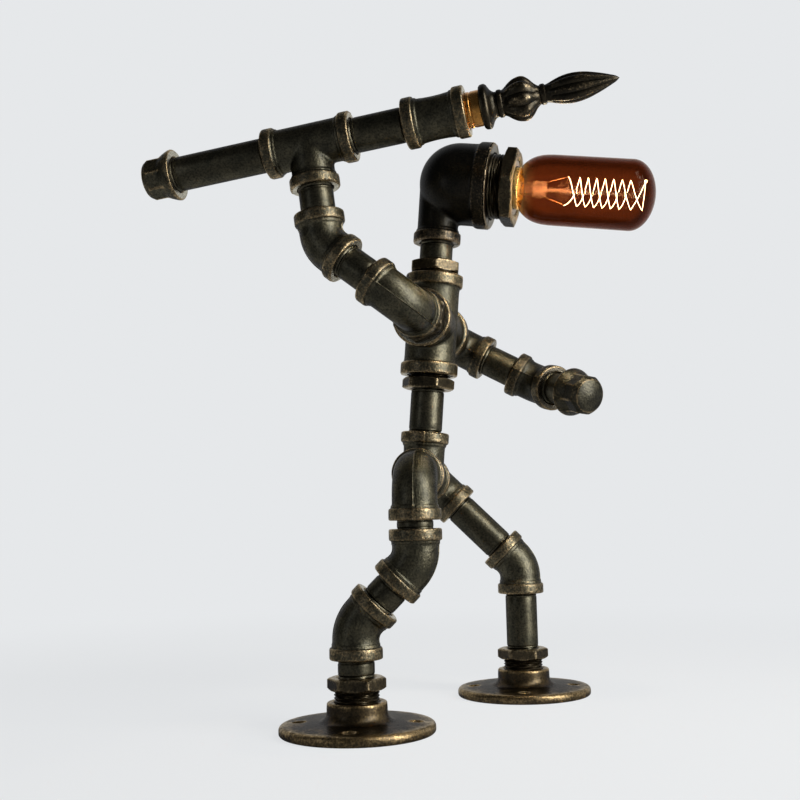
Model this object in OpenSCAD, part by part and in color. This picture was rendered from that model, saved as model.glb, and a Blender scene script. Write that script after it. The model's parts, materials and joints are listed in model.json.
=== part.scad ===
// Desk lamp in the shape of a walking figure, screwed together from malleable iron pipe fittings.
// Millimetres, +Z up. The figure faces +X, its left side is +Y, and both feet stand on z = 0.

/* [Half-inch pipe and fittings] */
// Outside diameter of half-inch iron pipe
pipe_d = 21.3; // [21:0.1:21.6]
// Bore of the pipe, and of the waterway through every half-inch fitting
pipe_bore = 16; // [14:0.1:16.5]
// Diameter of the cast body of a half-inch fitting
body_d = 26.5; // [26:0.1:27.5]
// Diameter of the bead round each mouth of a half-inch fitting
bead_d = 30.8; // [30:0.1:32]
// Width of that bead
bead_w = 7; // [5:0.1:8]
// How far a half-inch pipe end screws into a fitting
grip = 11; // [9.5:0.5:11.5]
// Centre to face of a 90 degree elbow and of a tee
elbow90 = 28; // [27:0.1:29]
// Centre to face of a 45 degree elbow
elbow45 = 19; // [18.5:0.1:22]
// Length of a straight coupling
coupling_l = 38; // [34:0.5:40]
// Length of a cap over its collar and octagon
cap_l = 22; // [20:0.1:24]
// Diameter of its collar at the lip
cap_bead_d = 32; // [31:0.1:33]
// Width across the flats of the cap's octagon
cap_flats = 25; // [24.6:0.1:27]

/* [Three-quarter fittings] */
// Outside diameter of the three-quarter male thread
thread34_d = 26.4; // [26.2:0.1:26.6]
// Diameter of the cast body of the cross
cross_d = 33; // [32:0.1:34]
// Diameter of the beads of the cross
cross_bead_d = 37; // [36:0.1:38]
// Width of the beads of the cross
cross_bead_w = 8; // [6:0.1:9]
// Centre to face of the cross
cross_face = 33; // [32:0.1:35]
// Width across the flats of a reducing bushing's hexagon
hex_flats = 30.3; // [30:0.1:32]
// Thickness of that hexagon
hex_h = 7; // [6:0.1:8]

/* [Foot flanges] */
// Diameter of a floor flange
flange_d = 90; // [84:1:96]
// Thickness of its plate at the rim
flange_t = 6; // [5:0.1:7]
// Height of the flange over its hub
flange_h = 18; // [17:0.5:20]
// Diameter of the hub
hub_d = 35; // [34:0.5:38]
// Circle on which the floor screw holes lie
screw_pcd = 68; // [66:0.5:70]
// Diameter of a floor screw hole
screw_d = 5.5; // [4.5:0.1:6.5]
// Number of floor screw holes
screw_count = 4; // [3:1:6]

/* [Visible lengths between fittings] */
// Male thread seen between a flange hub and its bushing
foot_thread = 6.6; // [2:0.1:8]
// Right shin, from the bushing to the ankle elbow
right_shin = 9.8; // [2:0.1:30]
// Right calf, from the ankle elbow to the knee elbow
right_calf = 12.8; // [2:0.1:30]
// Right thigh, from the knee elbow to the hip elbow
right_thigh = 4.7; // [2:0.1:30]
// Left thigh, from the hip elbow to the knee elbow
left_thigh = 38.7; // [20:0.1:50]
// Each hip nipple, from the hip tee to the hip elbow
hip_gap = 12; // [8:0.1:20]
// Waist pipe, from the hip tee to the bushing of the chest cross
waist = 27.8; // [10:0.1:60]
// Male thread seen between the cross and the waist bushing
waist_thread = 2; // [0.5:0.1:6]
// Male thread seen between the cross and each other bushing
cross_thread = 1.5; // [0.5:0.1:6]
// Neck nipple, from its bushing to the head elbow
neck = 12.3; // [4:0.1:30]
// Shoulder nipple, from its bushing to the shoulder elbow
shoulder = 0.5; // [0.5:0.1:10]
// Right upper arm, from the shoulder elbow to the forearm elbow
right_arm = 19; // [14:0.1:30]
// Right wrist, from the forearm elbow to the launcher tee
right_wrist = 15.6; // [10:0.1:30]
// Left upper arm, from the shoulder elbow to the forearm elbow
left_arm = 21.4; // [14:0.1:40]
// Left wrist, from the forearm elbow to the hand cap
left_wrist = 17.9; // [4:0.1:40]
// Launcher pipe behind its tee
rear_pipe = 59.8; // [30:0.1:90]
// Launcher pipe ahead of its tee
front_pipe = 32.5; // [20:0.5:60]

/* [Pose] */
// Forward lean of the body
lean = 5; // [0:0.5:10]
// Turn of the chest on the waist, seen from above
waist_turn = -8; // [-15:0.5:0]
// Rise of the right upper arm above the level of the shoulders
right_rise = 33.5; // [25:0.5:40]
// Drop of the left upper arm below that level
left_drop = 24; // [15:0.5:30]
// Upward roll of the left forearm about the upper arm
left_roll = 8.5; // [0:0.5:15]

/* [Head and lamp] */
// Angle through which the head elbow turns
head_bend = 94; // [90:0.5:96]
// Face of the small mouth to the centre of the head elbow
head_drop = 41; // [40:0.5:44]
// Centre of the head elbow to the face of its large mouth
head_reach = 35; // [34:0.5:38]
// Diameter of the large body of the head elbow
head_d = 53; // [52:0.5:54]
// Diameter of the bead round the large mouth
head_bead_d = 56; // [55.5:0.5:58]
// Width of that bead
head_bead_w = 9.5; // [8:0.5:10]
// Outside diameter of the male thread of the head bushing
head_thread_d = 41.9; // [41.5:0.1:42.2]
// Male thread seen between the head elbow and the hexagon of its bushing
head_thread = 8; // [4:0.5:10]
// Width across the flats of the head bushing's hexagon
head_flats = 46; // [44:0.5:48]
// Thickness of that hexagon
head_hex = 8; // [6:0.5:10]
// Outside diameter of the lamp holder in the head bushing
holder_d = 36; // [35:0.1:36.5]
// Outside diameter of the screw cap of the bulb
cap_d = 26.4; // [26:0.1:26.6]
// Diameter of the tubular bulb
bulb_d = 45; // [44:0.5:46]
// Length of the bulb's glass outside its screw cap
glass_l = 86; // [80:1:95]
// Turns that each strand of the filament makes
filament_turns = 4; // [3:1:5]

/* [Spear finial] */
// Diameter of the brass adapter that carries the finial
adapter_d = 21.3; // [21:0.1:21.3]
// Length of brass seen between the coupling and the finial
adapter_l = 9; // [6:0.5:12]
// Length of the finial
finial_l = 81; // [75:1:90]
// Number of flutes round the finial
flutes = 8; // [6:1:12]
// Depth of a flute, as a share of the radius
flute_depth = 0.14; // [0.05:0.01:0.2]

/* [Hidden] */
$fn = 64;

iron = [0.16, 0.14, 0.11];
pipe_iron = [0.11, 0.10, 0.09];
rubbed_iron = [0.28, 0.22, 0.15];
brass = [0.72, 0.50, 0.22];
phenolic = [0.06, 0.05, 0.05];
amber = [0.55, 0.22, 0.08, 0.5];

play = 0.05;        // radial clearance of each male end in its thread
end_gap = 0.2;      // from a male end to the shoulder that it faces
edge = 1.2;         // rounding of a bead's edges
swell = 2;          // length over which a body swells into its bead
grip34 = 12;        // how far a three-quarter or larger thread screws in

pipe_r = pipe_d / 2;
bore_r = pipe_bore / 2;
tap_r = pipe_r + play;
body_r = body_d / 2;
bead_r = bead_d / 2;
thread34_r = thread34_d / 2;
tap34_r = thread34_r + play;
through34_r = bore_r + 1;
cross_r = cross_d / 2;
hub_r = hub_d / 2;

// The right leg sets the height of the hips, and the left shin is cut to match it
foot_top = flange_h + foot_thread + hex_h;
calf_run = 2 * elbow45 + right_calf;
thigh_run = elbow90 + left_thigh + elbow45;
right_thigh_run = elbow90 + right_thigh + elbow45;
right_shin_run = elbow45 + right_shin + foot_top;
hip_h = right_thigh_run + calf_run * cos(45) + right_shin_run;
left_shin_run = hip_h - thigh_run * cos(45);
left_shin = left_shin_run - elbow45 - foot_top;

// Distances between the centres of neighbouring fittings
hip_reach = 2 * elbow90 + hip_gap;
chest_up = elbow90 + waist + hex_h + waist_thread + cross_face;
head_up = cross_face + cross_thread + hex_h + neck + head_drop;
shoulder_hex = cross_face + cross_thread;
shoulder_reach = shoulder_hex + hex_h + shoulder + elbow90;
right_arm_run = elbow90 + right_arm + elbow45;
left_arm_run = elbow90 + left_arm + elbow45;
wrist_run = elbow45 + right_wrist + elbow90;

// Stations along the launcher, from the centre of its tee
rear_end = elbow90 + rear_pipe;
coupling_at = elbow90 + front_pipe;
adapter_at = coupling_at + coupling_l;
finial_at = adapter_at + adapter_l;

// Stations along the head, from the centre of its elbow
head_r = head_d / 2;
dome_at = head_r - body_r;
head_hex_at = head_reach + head_thread;
head_mouth = head_hex_at + head_hex;
holder_back = 12;
holder_r = holder_d / 2;
holder_floor = holder_back + 6;
shell_r = cap_d / 2 + play;
shell_t = 0.6;
bulb_at = head_mouth + 2;
cap_back = bulb_at - 23;
tip_back = cap_back - 5;
bulb_r = bulb_d / 2;
glass_t = 0.9;
neck_r = cap_d / 2 - 0.6;
neck_in = 8;

// Stations along the inside of the bulb, from the end of its cap
press_top = 17;
coil_start = 30;
rod_end = 73;

// Spiral filament: two strands, each with a lead of two gaps, joined by a hairpin at the far end
wire_r = 0.45;
coil_r = 9.5;
strand_gap = 5.4;
coil_lead = 2 * strand_gap;
coil_slope = atan(coil_lead / (2 * PI * coil_r));
coil_turned = 360 * filament_turns;
hairpin_r = strand_gap * cos(coil_slope) / 2;
hairpin_at = coil_start + coil_lead * filament_turns + strand_gap / 2;

// The origin lies under the middle of the lamp's length, from the launcher's tail to the bulb's tip.
// The tail's place is worked out along the arm, first in the chest's own directions.
wrist_rise = right_rise + 45;
tail_run = rear_end + cap_l;
tail_back = right_arm_run * cos(right_rise) + wrist_run * cos(wrist_rise) + tail_run * sin(wrist_rise);
tail_up = right_arm_run * sin(right_rise) + wrist_run * sin(wrist_rise) - tail_run * cos(wrist_rise);
tail_turned = shoulder_reach * sin(waist_turn) - tail_back * cos(waist_turn);
tail_x = tail_turned * cos(lean) + (chest_up + tail_up) * sin(lean);
bulb_tip = bulb_at + glass_l;
tip_ahead = sin(head_bend) * cos(waist_turn) * cos(lean) + cos(head_bend) * sin(lean);
tip_x = (chest_up + head_up) * sin(lean) + bulb_tip * tip_ahead;
middle_x = (tip_x + tail_x) / 2;

// ---- Frames: each puts local +Z along a run of pipe, from the centre of the fitting it leaves ----

module step(d) {
    translate([0, 0, d]) children();
}

// Turns the run through a bend towards local +X, then rolls about the new run
module turn(bend, roll = 0) {
    rotate([0, bend, 0]) rotate([0, 0, roll]) children();
}

module flip() {
    rotate([180, 0, 0]) children();
}

module at_hips() {
    translate([-middle_x, 0, hip_h]) children();
}

module along_right_hip() {
    at_hips() rotate([90, 0, 0]) rotate([0, 0, -90]) children();
}

module along_right_thigh() {
    along_right_hip() step(hip_reach) turn(90, -90) children();
}

module along_right_calf() {
    along_right_thigh() step(right_thigh_run) turn(45, 180) children();
}

module along_right_shin() {
    along_right_calf() step(calf_run) turn(45) children();
}

module along_left_hip() {
    at_hips() rotate([-90, 0, 0]) rotate([0, 0, 45]) children();
}

module along_left_thigh() {
    along_left_hip() step(hip_reach) turn(90, 90) children();
}

module along_left_shin() {
    along_left_thigh() step(thigh_run) turn(45) children();
}

module along_body() {
    at_hips() rotate([0, lean, 0]) children();
}

module at_chest() {
    along_body() step(chest_up) rotate([0, 0, waist_turn]) children();
}

module at_head() {
    at_chest() step(head_up) children();
}

module along_head() {
    at_head() turn(head_bend) children();
}

module along_right_shoulder() {
    at_chest() rotate([90, 0, 0]) rotate([0, 0, 180 - right_rise]) children();
}

module along_right_arm() {
    along_right_shoulder() step(shoulder_reach) turn(90, -90) children();
}

module along_right_wrist() {
    along_right_arm() step(right_arm_run) turn(45) children();
}

module at_launcher() {
    along_right_wrist() step(wrist_run) children();
}

module along_launcher() {
    at_launcher() turn(90) children();
}

module along_left_shoulder() {
    at_chest() rotate([-90, 0, 0]) rotate([0, 0, left_drop]) children();
}

module along_left_arm() {
    along_left_shoulder() step(shoulder_reach) turn(90, -left_roll) children();
}

module along_left_wrist() {
    along_left_arm() step(left_arm_run) turn(45) children();
}

// ---- Shapes that repeat ----

// Points of a round of radius r between two angles, its centre at [x, y]
function arc(x, y, r, from, to, steps = 4) =
    [for (i = [0:steps]) let (a = from + (to - from) * i / steps) [x + r * cos(a), y + r * sin(a)]];

// Iron pipe or nipple, from z = 0
module pipe(length) {
    color(pipe_iron) rotate_extrude() translate([bore_r, 0]) square([pipe_r - bore_r, length]);
}

// Nipple from inside one fitting to inside the next, past a gap that starts at the first one's face
module nipple(face, gap) {
    reach = grip - end_gap;
    step(face - reach) pipe(gap + 2 * reach);
}

// Tapped mouth with a bead round it, opening along +Z with its lip at face. A floor thicker than 0
// adds the shoulder that the pipe end butts on, down to the waterway.
module mouth(face, depth = grip, tap = tap_r, body = body_r, bead = bead_r, width = bead_w, floor_t = 0) {
    inner = floor_t > 0 ? [[tap, 0], [bore_r, 0], [bore_r, -floor_t]] : [[tap, 0]];
    step(face - depth) rotate_extrude() polygon(concat(
        inner,
        [[body, -floor_t], [body, depth - width - swell]],
        arc(bead - edge, depth - width + edge, edge, -75, 0),
        arc(bead - edge, depth - edge, edge, 0, 90),
        [[tap + edge, depth], [tap, depth - edge]]
    ));
}

// Hollow bend from a run coming up +Z to one turned towards +X. Its wall is a shade thinner than
// the mouths' floors, and its ends stop inside them.
module bend(angle, run) {
    radius = run / tan(angle / 2);
    shade = 0.15;
    short = asin(1 / radius);
    translate([radius, 0, -run]) rotate([90, 0, 0]) rotate([0, 0, 180 - angle + short])
        rotate_extrude(angle = angle - 2 * short) translate([radius, 0]) difference() {
            circle(r = body_r - shade);
            circle(r = bore_r + shade);
        }
}

// Half-inch elbow, centred where its two axes meet. Its mouths are turned a little, which keeps the
// start of their round off the start of the bend's.
module elbow(angle, face) {
    color(iron) {
        bend(angle, face - grip);
        flip() rotate([0, 0, 75]) mouth(face, floor_t = 2);
        turn(angle, 75) mouth(face, floor_t = 2);
    }
}

// Half-inch tee with its run along X and its branch towards -Z
module tee() {
    color(iron) {
        difference() {
            union() {
                turn(90) cylinder(r = body_r, h = 2 * (elbow90 - grip), center = true);
                flip() cylinder(r = body_r, h = elbow90 - grip);
            }
            turn(90) cylinder(r = bore_r, h = 2 * elbow90, center = true);
            flip() cylinder(r = bore_r, h = elbow90);
        }
        for (side = [-90, 90]) turn(side) mouth(elbow90);
        flip() mouth(elbow90);
    }
}

// Prism of a fitting's flats, its corners turned down at both ends, standing on z = 0
module flats(across, height, sides) {
    corner = across / 2 / cos(180 / sides);
    bevel = corner - across / 2;
    intersection() {
        cylinder(r = corner, h = height, $fn = sides);
        rotate_extrude() polygon([
            [0, 0], [corner - bevel, 0], [corner, bevel / 2],
            [corner, height - bevel / 2], [corner - bevel, height], [0, height]
        ]);
    }
}

// Hexagon reducing bushing: its hexagon stands on z = 0, its male thread reaches down by shank
module bushing(shank) {
    color(rubbed_iron) difference() {
        union() {
            flats(hex_flats, hex_h, 6);
            step(end_gap - shank) cylinder(r = thread34_r, h = shank);
        }
        step(hex_h - grip) cylinder(r = tap_r, h = grip + 1);
        step(-shank - 1) cylinder(r = through34_r, h = shank + hex_h);
    }
}

// Cap with a conical collar at its mouth, on z = 0, and a domed octagonal crown along +Z
module cap() {
    dome_r = 22;
    lip_r = cap_bead_d / 2 - edge;
    color(iron) difference() {
        union() {
            rotate_extrude() polygon(concat(
                [[0, 0]], arc(lip_r, edge, edge, -90, 60),
                [[cap_flats / 2 - 1, bead_w + swell], [0, bead_w + swell]]
            ));
            intersection() {
                cylinder(d = cap_flats / cos(22.5), h = cap_l, $fn = 8);
                step(cap_l - dome_r) sphere(r = dome_r, $fn = 96);
            }
        }
        step(-1) cylinder(r = tap_r, h = grip + 1);
        step(1) cylinder(r = bore_r, h = cap_l - 5);
    }
}

// ---- Feet ----

// Floor flange standing on z = 0
module foot_flange() {
    fillet_r = 8;
    plate_top = flange_t + 1;
    rim_r = flange_d / 2;
    color(rubbed_iron) difference() {
        rotate_extrude() polygon(concat(
            [[through34_r + 1, 0]],
            arc(rim_r - 1.5, 1.5, 1.5, -90, 0),
            arc(rim_r - 2.5, flange_t - 2.5, 2.5, 0, 85),
            arc(hub_r + fillet_r, plate_top + fillet_r, fillet_r, 270, 180, 6),
            arc(hub_r - 1, flange_h - 1, 1, 0, 90, 3),
            [[tap34_r, flange_h], [tap34_r, flange_h - grip34], [through34_r + 1, flange_h - grip34]]
        ));
        for (i = [0:screw_count - 1])
            rotate([0, 0, i * 360 / screw_count]) translate([screw_pcd / 2, 0, -1]) {
                cylinder(d = screw_d, h = flange_t + 4);
                step(plate_top - 2) cylinder(d1 = screw_d, d2 = screw_d + 6, h = 3);
            }
    }
}

module right_foot_flange() {
    along_right_shin() step(right_shin_run) flip() foot_flange();
}

module right_foot_bushing() {
    along_right_shin() step(elbow45 + right_shin + hex_h) flip() bushing(foot_thread + grip34);
}

module left_foot_flange() {
    along_left_shin() step(left_shin_run) flip() foot_flange();
}

module left_foot_bushing() {
    along_left_shin() step(elbow45 + left_shin + hex_h) flip() bushing(foot_thread + grip34);
}

// ---- Right leg ----

module right_shin_nipple() {
    along_right_shin() nipple(elbow45, right_shin);
}

module right_ankle_elbow() {
    along_right_calf() step(calf_run) elbow(45, elbow45);
}

module right_calf_nipple() {
    along_right_calf() nipple(elbow45, right_calf);
}

module right_knee_elbow() {
    along_right_thigh() step(right_thigh_run) elbow(45, elbow45);
}

module right_thigh_nipple() {
    along_right_thigh() nipple(elbow90, right_thigh);
}

module right_hip_elbow() {
    along_right_hip() step(hip_reach) elbow(90, elbow90);
}

module right_hip_nipple() {
    along_right_hip() nipple(elbow90, hip_gap);
}

// ---- Left leg ----

module left_hip_nipple() {
    along_left_hip() nipple(elbow90, hip_gap);
}

module left_hip_elbow() {
    along_left_hip() step(hip_reach) elbow(90, elbow90);
}

module left_thigh_pipe() {
    along_left_thigh() nipple(elbow90, left_thigh);
}

module left_knee_elbow() {
    along_left_thigh() step(thigh_run) elbow(45, elbow45);
}

module left_shin_pipe() {
    along_left_shin() nipple(elbow45, left_shin);
}

// ---- Body ----

module hip_tee() {
    along_body() flip() rotate([0, 0, 90]) tee();
}

module waist_pipe() {
    along_body() nipple(elbow90, waist);
}

module waist_bushing() {
    at_chest() flip() step(cross_face + waist_thread) bushing(waist_thread + grip34);
}

// Three-quarter cross: the body runs through it along Z, and the shoulders along Y
module chest_cross() {
    arms = [[0, 0, 0], [180, 0, 0], [90, 0, 0], [-90, 0, 0]];
    trunk = cross_face - grip34;
    color(iron) at_chest() {
        difference() {
            union() {
                cylinder(r = cross_r, h = 2 * trunk, center = true);
                rotate([90, 0, 0]) cylinder(r = cross_r, h = 2 * trunk, center = true);
            }
            cylinder(r = thread34_r - 1.5, h = 2 * cross_face, center = true);
            rotate([90, 0, 0]) cylinder(r = thread34_r - 1.5, h = 2 * cross_face, center = true);
        }
        for (arm = arms) rotate(arm)
            mouth(cross_face, grip34, tap34_r, cross_r, cross_bead_d / 2, cross_bead_w);
    }
}

module neck_bushing() {
    at_chest() step(cross_face + cross_thread) rotate([0, 0, 41]) bushing(cross_thread + grip34);
}

module neck_nipple() {
    at_chest() nipple(cross_face + cross_thread + hex_h, neck);
}

// ---- Head, lamp holder and bulb ----

// Reducing elbow: a small mouth below, and a large one ahead for the lamp holder's bushing
module head_elbow() {
    leg_tap = head_drop - grip;
    cavity_r = head_r - 6.5;
    large_tap = head_thread_d / 2 + play;
    thread_end = head_reach - grip34;
    color(iron) {
        at_head() flip() mouth(head_drop);
        along_head() mouth(head_reach, grip34, large_tap, head_r, head_bead_d / 2, head_bead_w);
        difference() {
            union() {
                at_head() flip() cylinder(r = body_r, h = leg_tap);
                along_head() step(dome_at) sphere(r = head_r, $fn = 96);
                along_head() step(dome_at) cylinder(r = head_r, h = thread_end - dome_at);
            }
            at_head() flip() cylinder(r = bore_r, h = head_drop);
            along_head() step(dome_at) sphere(r = cavity_r, $fn = 96);
            along_head() step(dome_at) cylinder(r = holder_r + 0.6, h = head_reach);
            along_head() step(thread_end) cylinder(r = head_bead_d, h = head_reach);
        }
    }
}

// Bushing in the large mouth, bored out for the lamp holder
module head_bushing() {
    shank = head_thread + grip34;
    color(rubbed_iron) along_head() step(head_hex_at) rotate([0, 0, 30]) difference() {
        union() {
            flats(head_flats, head_hex, 6);
            step(end_gap - shank) cylinder(r = head_thread_d / 2, h = shank);
        }
        step(-shank - 1) cylinder(r = holder_r + play, h = shank + head_hex + 2);
    }
}

// Phenolic lamp holder: a cup with two holes for its wires through the back
module lamp_holder() {
    length = head_mouth - holder_back;
    color(phenolic) along_head() step(holder_back) difference() {
        rotate_extrude() polygon(concat(
            [[0, 0]], arc(holder_r - 2, 2, 2, -90, 0, 3),
            arc(holder_r - 1, length - 2, 1, 0, 90, 3), [[0, length - 1]]
        ));
        step(holder_floor - holder_back) cylinder(r = shell_r + shell_t + play, h = length);
        for (side = [-1, 1]) translate([0, side * 8, -1]) cylinder(d = 3, h = holder_floor);
    }
}

// Screw shell of the holder, rolled from sheet brass and open in the middle of its floor
module holder_shell() {
    color(brass) along_head() step(holder_floor) difference() {
        cylinder(r = shell_r + shell_t, h = head_mouth - holder_floor - 3);
        step(shell_t) cylinder(r = shell_r, h = head_mouth);
        step(-1) cylinder(r = 7, h = 3);
    }
}

// Centre contact on the floor of the holder
module holder_contact() {
    color(brass) along_head() step(holder_floor) cylinder(r = 4, h = tip_back - holder_floor - play);
}

// Screw cap of the bulb: a thin shell that narrows to the insulator
module bulb_cap() {
    r = cap_d / 2;
    color(brass) along_head() rotate_extrude() polygon([
        [9, cap_back], [r - 1, cap_back + 1], [r, cap_back + 3], [r, bulb_at - 3], [r + 0.4, bulb_at - 2.5],
        [r + 0.4, bulb_at], [r - 0.5, bulb_at], [r - 0.5, cap_back + 3], [r - 1.5, cap_back + 1.6],
        [9, cap_back + 0.7]
    ]);
}

// Black glass insulator and solder tip that close the cap
module bulb_insulator() {
    r = 9 - play;
    color("black") along_head() rotate_extrude() polygon([
        [0, tip_back], [3.5, tip_back], [4.5, tip_back + 1.5], [r, cap_back], [r, cap_back + 0.7],
        [0, cap_back + 0.7]
    ]);
}

// Radius of the glass at a distance from the cap: a quick shoulder, then a long tube
function glass_r(s) = s < 24
    ? neck_r + (bulb_r - neck_r) * pow(1 - pow(1 - s / 24, 3), 0.75)
    : bulb_r;

// Outline of the glass, shrunk by wall for its inside: shoulder, tube and blunt round end
function glass_side(wall) = let (blunt = 15.5) concat(
    [for (s = [0, 1, 2.5, 4.5, 7, 10, 14, 18, 24]) [glass_r(s) - wall, s]],
    [for (a = [0:10:90]) [(bulb_r - wall) * cos(a), glass_l - blunt + (blunt - wall) * sin(a)]]
);

module bulb_glass() {
    inner = glass_side(glass_t);
    color(amber) along_head() step(bulb_at) rotate_extrude() polygon(concat(
        [[neck_r - glass_t, -neck_in], [neck_r, -neck_in]], glass_side(0),
        [for (i = [len(inner) - 1:-1:0]) inner[i]]
    ));
}

// Straight round wire between two points
module wire(from, to) {
    run = to - from;
    across = norm([run.x, run.y]);
    translate(from) rotate([0, atan2(across, run.z), atan2(run.y, run.x)])
        cylinder(r = wire_r, h = norm(run), $fn = 16);
}

// Glass mount: a flare that the neck is sealed to, a flat press, the rod, and the wires that carry
// the filament: one to the start of each strand, and one to the hairpin at the far end
module bulb_stem() {
    flare_r = neck_r - glass_t + 0.2;
    color("white", 0.6) along_head() step(bulb_at) {
        step(-neck_in) rotate_extrude() polygon([
            [0, 0], [flare_r, 0], [flare_r, 1], [6, 4], [4, 10], [4, 18], [0, 18]
        ]);
        step(8) translate([-5, -2, 0]) cube([10, 4, press_top - 8]);
        step(press_top - 1) cylinder(r = 1.9, h = rod_end - press_top + 1, $fn = 32);
        for (s = [coil_start, rod_end - 2]) step(s) cylinder(r = 2.8, h = 2, $fn = 32);
        for (side = [-1, 1]) wire([side * 4.4, 0, press_top - 1], [side * coil_r, 0, coil_start]);
        wire([0, 0, rod_end - 1], [-coil_r, 0, hairpin_at + hairpin_r]);
    }
}

// The filament is one wire wound as a two-start spiral: out along the first strand, round a hairpin
// at the far end, and back between its turns. A point of it is [angle, distance, slope].
function out_point(a) = [a, coil_start + coil_lead * a / 360, coil_slope];

function back_point(a) = [a, coil_start + strand_gap + coil_lead * a / 360, coil_slope + 180];

function hairpin_point(b) = let (slope = coil_slope + b) [
    coil_turned + hairpin_r * sin(slope) / coil_r * 180 / PI,
    hairpin_at - hairpin_r * cos(slope),
    slope
];

// Corner of the wire's square section: k counts round it
function wire_corner(p, k) = let (
    out = wire_r * cos(90 * k),
    over = wire_r * sin(90 * k),
    a = 180 + p[0] - over * sin(p[2]) / coil_r * 180 / PI
) [(coil_r + out) * cos(a), (coil_r + out) * sin(a), p[1] + over * cos(p[2])];

module bulb_filament() {
    along_wire = concat(
        [for (a = [0:30:coil_turned]) out_point(a)],
        [for (b = [30:30:150]) hairpin_point(b)],
        [for (a = [coil_turned:-30:-180]) back_point(a)]
    );
    last = len(along_wire) - 1;
    color("gold") along_head() step(bulb_at) polyhedron(
        points = [for (p = along_wire, k = [0:3]) wire_corner(p, k)],
        faces = concat(
            [[3, 2, 1, 0]],
            [for (i = [0:last - 1], k = [0:3]) let (a = 4 * i + k, b = 4 * i + (k + 1) % 4)
                each [[a, b, b + 4], [a, b + 4, a + 4]]],
            [[4 * last, 4 * last + 1, 4 * last + 2, 4 * last + 3]]
        )
    );
}

// ---- Right arm ----

module right_shoulder_bushing() {
    along_right_shoulder() step(shoulder_hex) bushing(cross_thread + grip34);
}

module right_shoulder_nipple() {
    along_right_shoulder() nipple(shoulder_hex + hex_h, shoulder);
}

module right_shoulder_elbow() {
    along_right_shoulder() step(shoulder_reach) elbow(90, elbow90);
}

module right_arm_nipple() {
    along_right_arm() nipple(elbow90, right_arm);
}

module right_forearm_elbow() {
    along_right_arm() step(right_arm_run) elbow(45, elbow45);
}

module right_wrist_nipple() {
    along_right_wrist() nipple(elbow45, right_wrist);
}

// ---- Launcher ----

module launcher_tee() {
    at_launcher() tee();
}

module launcher_rear_pipe() {
    along_launcher() flip() nipple(elbow90, rear_pipe);
}

module launcher_rear_cap() {
    along_launcher() flip() step(rear_end) cap();
}

module launcher_front_pipe() {
    along_launcher() nipple(elbow90, front_pipe);
}

// Straight coupling: two mouths back to back, with the shoulder that both pipe ends face between them
module launcher_coupling() {
    middle = coupling_l / 2;
    color(iron) along_launcher() step(coupling_at + middle)
        for (side = [0, 180]) rotate([side, 0, 0]) mouth(middle, floor_t = middle - grip + 1);
}

// Brass nipple with a turned shoulder that the finial screws against
module launcher_adapter() {
    reach = grip - end_gap;
    bore = 6;
    color(brass) along_launcher() step(adapter_at - reach) rotate_extrude() polygon([
        [bore, 0], [adapter_d / 2 - 1, 0], [adapter_d / 2, 1], [adapter_d / 2, reach + adapter_l],
        [bore, reach + adapter_l]
    ]);
}

// Cast finial: collar, neck ring, fluted bulb, neck ring and a long fluted spear blade.
// Each pair is a distance from the back of the collar and the radius there.
finial_side = [
    [0, 12.2], [0.8, 13], [3.4, 13.2], [4.4, 12.4], [6, 9.4], [8, 7.6], [9.4, 7.4], [10, 8.1], [12, 8.1],
    [12.8, 7.4], [14.5, 7.6], [17, 9], [20, 11.4], [23, 12.8], [25, 12.9], [27, 12], [29.5, 9.6],
    [32, 7], [34, 5.6], [34.8, 5.4], [35.4, 6], [37.6, 6], [38.2, 5.2], [40, 5.6], [43.5, 6.8],
    [47.5, 7.9], [52, 8.5], [57, 8.4], [62, 7.6], [67, 6.2], [72, 4.5], [76, 2.9], [79, 1.6], [81, 0.3]
];

// Share of the full flute depth at a distance along the finial: none on the rings and the neck
function fluted(s) = (s > 14.5 && s < 34) || (s > 40 && s < 78) ? 1 : 0;

module spear_finial() {
    around = flutes * 6;
    last = len(finial_side) - 1;
    scale_l = finial_l / finial_side[last][0];
    color(iron) along_launcher() step(finial_at) {
        polyhedron(
            points = [for (p = finial_side, i = [0:around - 1]) let (
                a = i * 360 / around,
                r = p[1] * (1 - flute_depth * fluted(p[0]) * (1 - abs(sin(a * flutes / 2))))
            ) [r * cos(a), r * sin(a), p[0] * scale_l]],
            faces = concat(
                [[for (i = [0:around - 1]) i]],
                [for (k = [0:last - 1], i = [0:around - 1])
                    [k * around + i, (k + 1) * around + i, (k + 1) * around + (i + 1) % around,
                        k * around + (i + 1) % around]],
                [[for (i = [around - 1:-1:0]) last * around + i]]
            )
        );
    }
}

// ---- Left arm ----

module left_shoulder_bushing() {
    along_left_shoulder() step(shoulder_hex) bushing(cross_thread + grip34);
}

module left_shoulder_nipple() {
    along_left_shoulder() nipple(shoulder_hex + hex_h, shoulder);
}

module left_shoulder_elbow() {
    along_left_shoulder() step(shoulder_reach) elbow(90, elbow90);
}

module left_arm_nipple() {
    along_left_arm() nipple(elbow90, left_arm);
}

module left_forearm_elbow() {
    along_left_arm() step(left_arm_run) elbow(45, elbow45);
}

module left_wrist_nipple() {
    along_left_wrist() nipple(elbow45, left_wrist);
}

module left_hand_cap() {
    along_left_wrist() step(elbow45 + left_wrist) cap();
}

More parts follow.
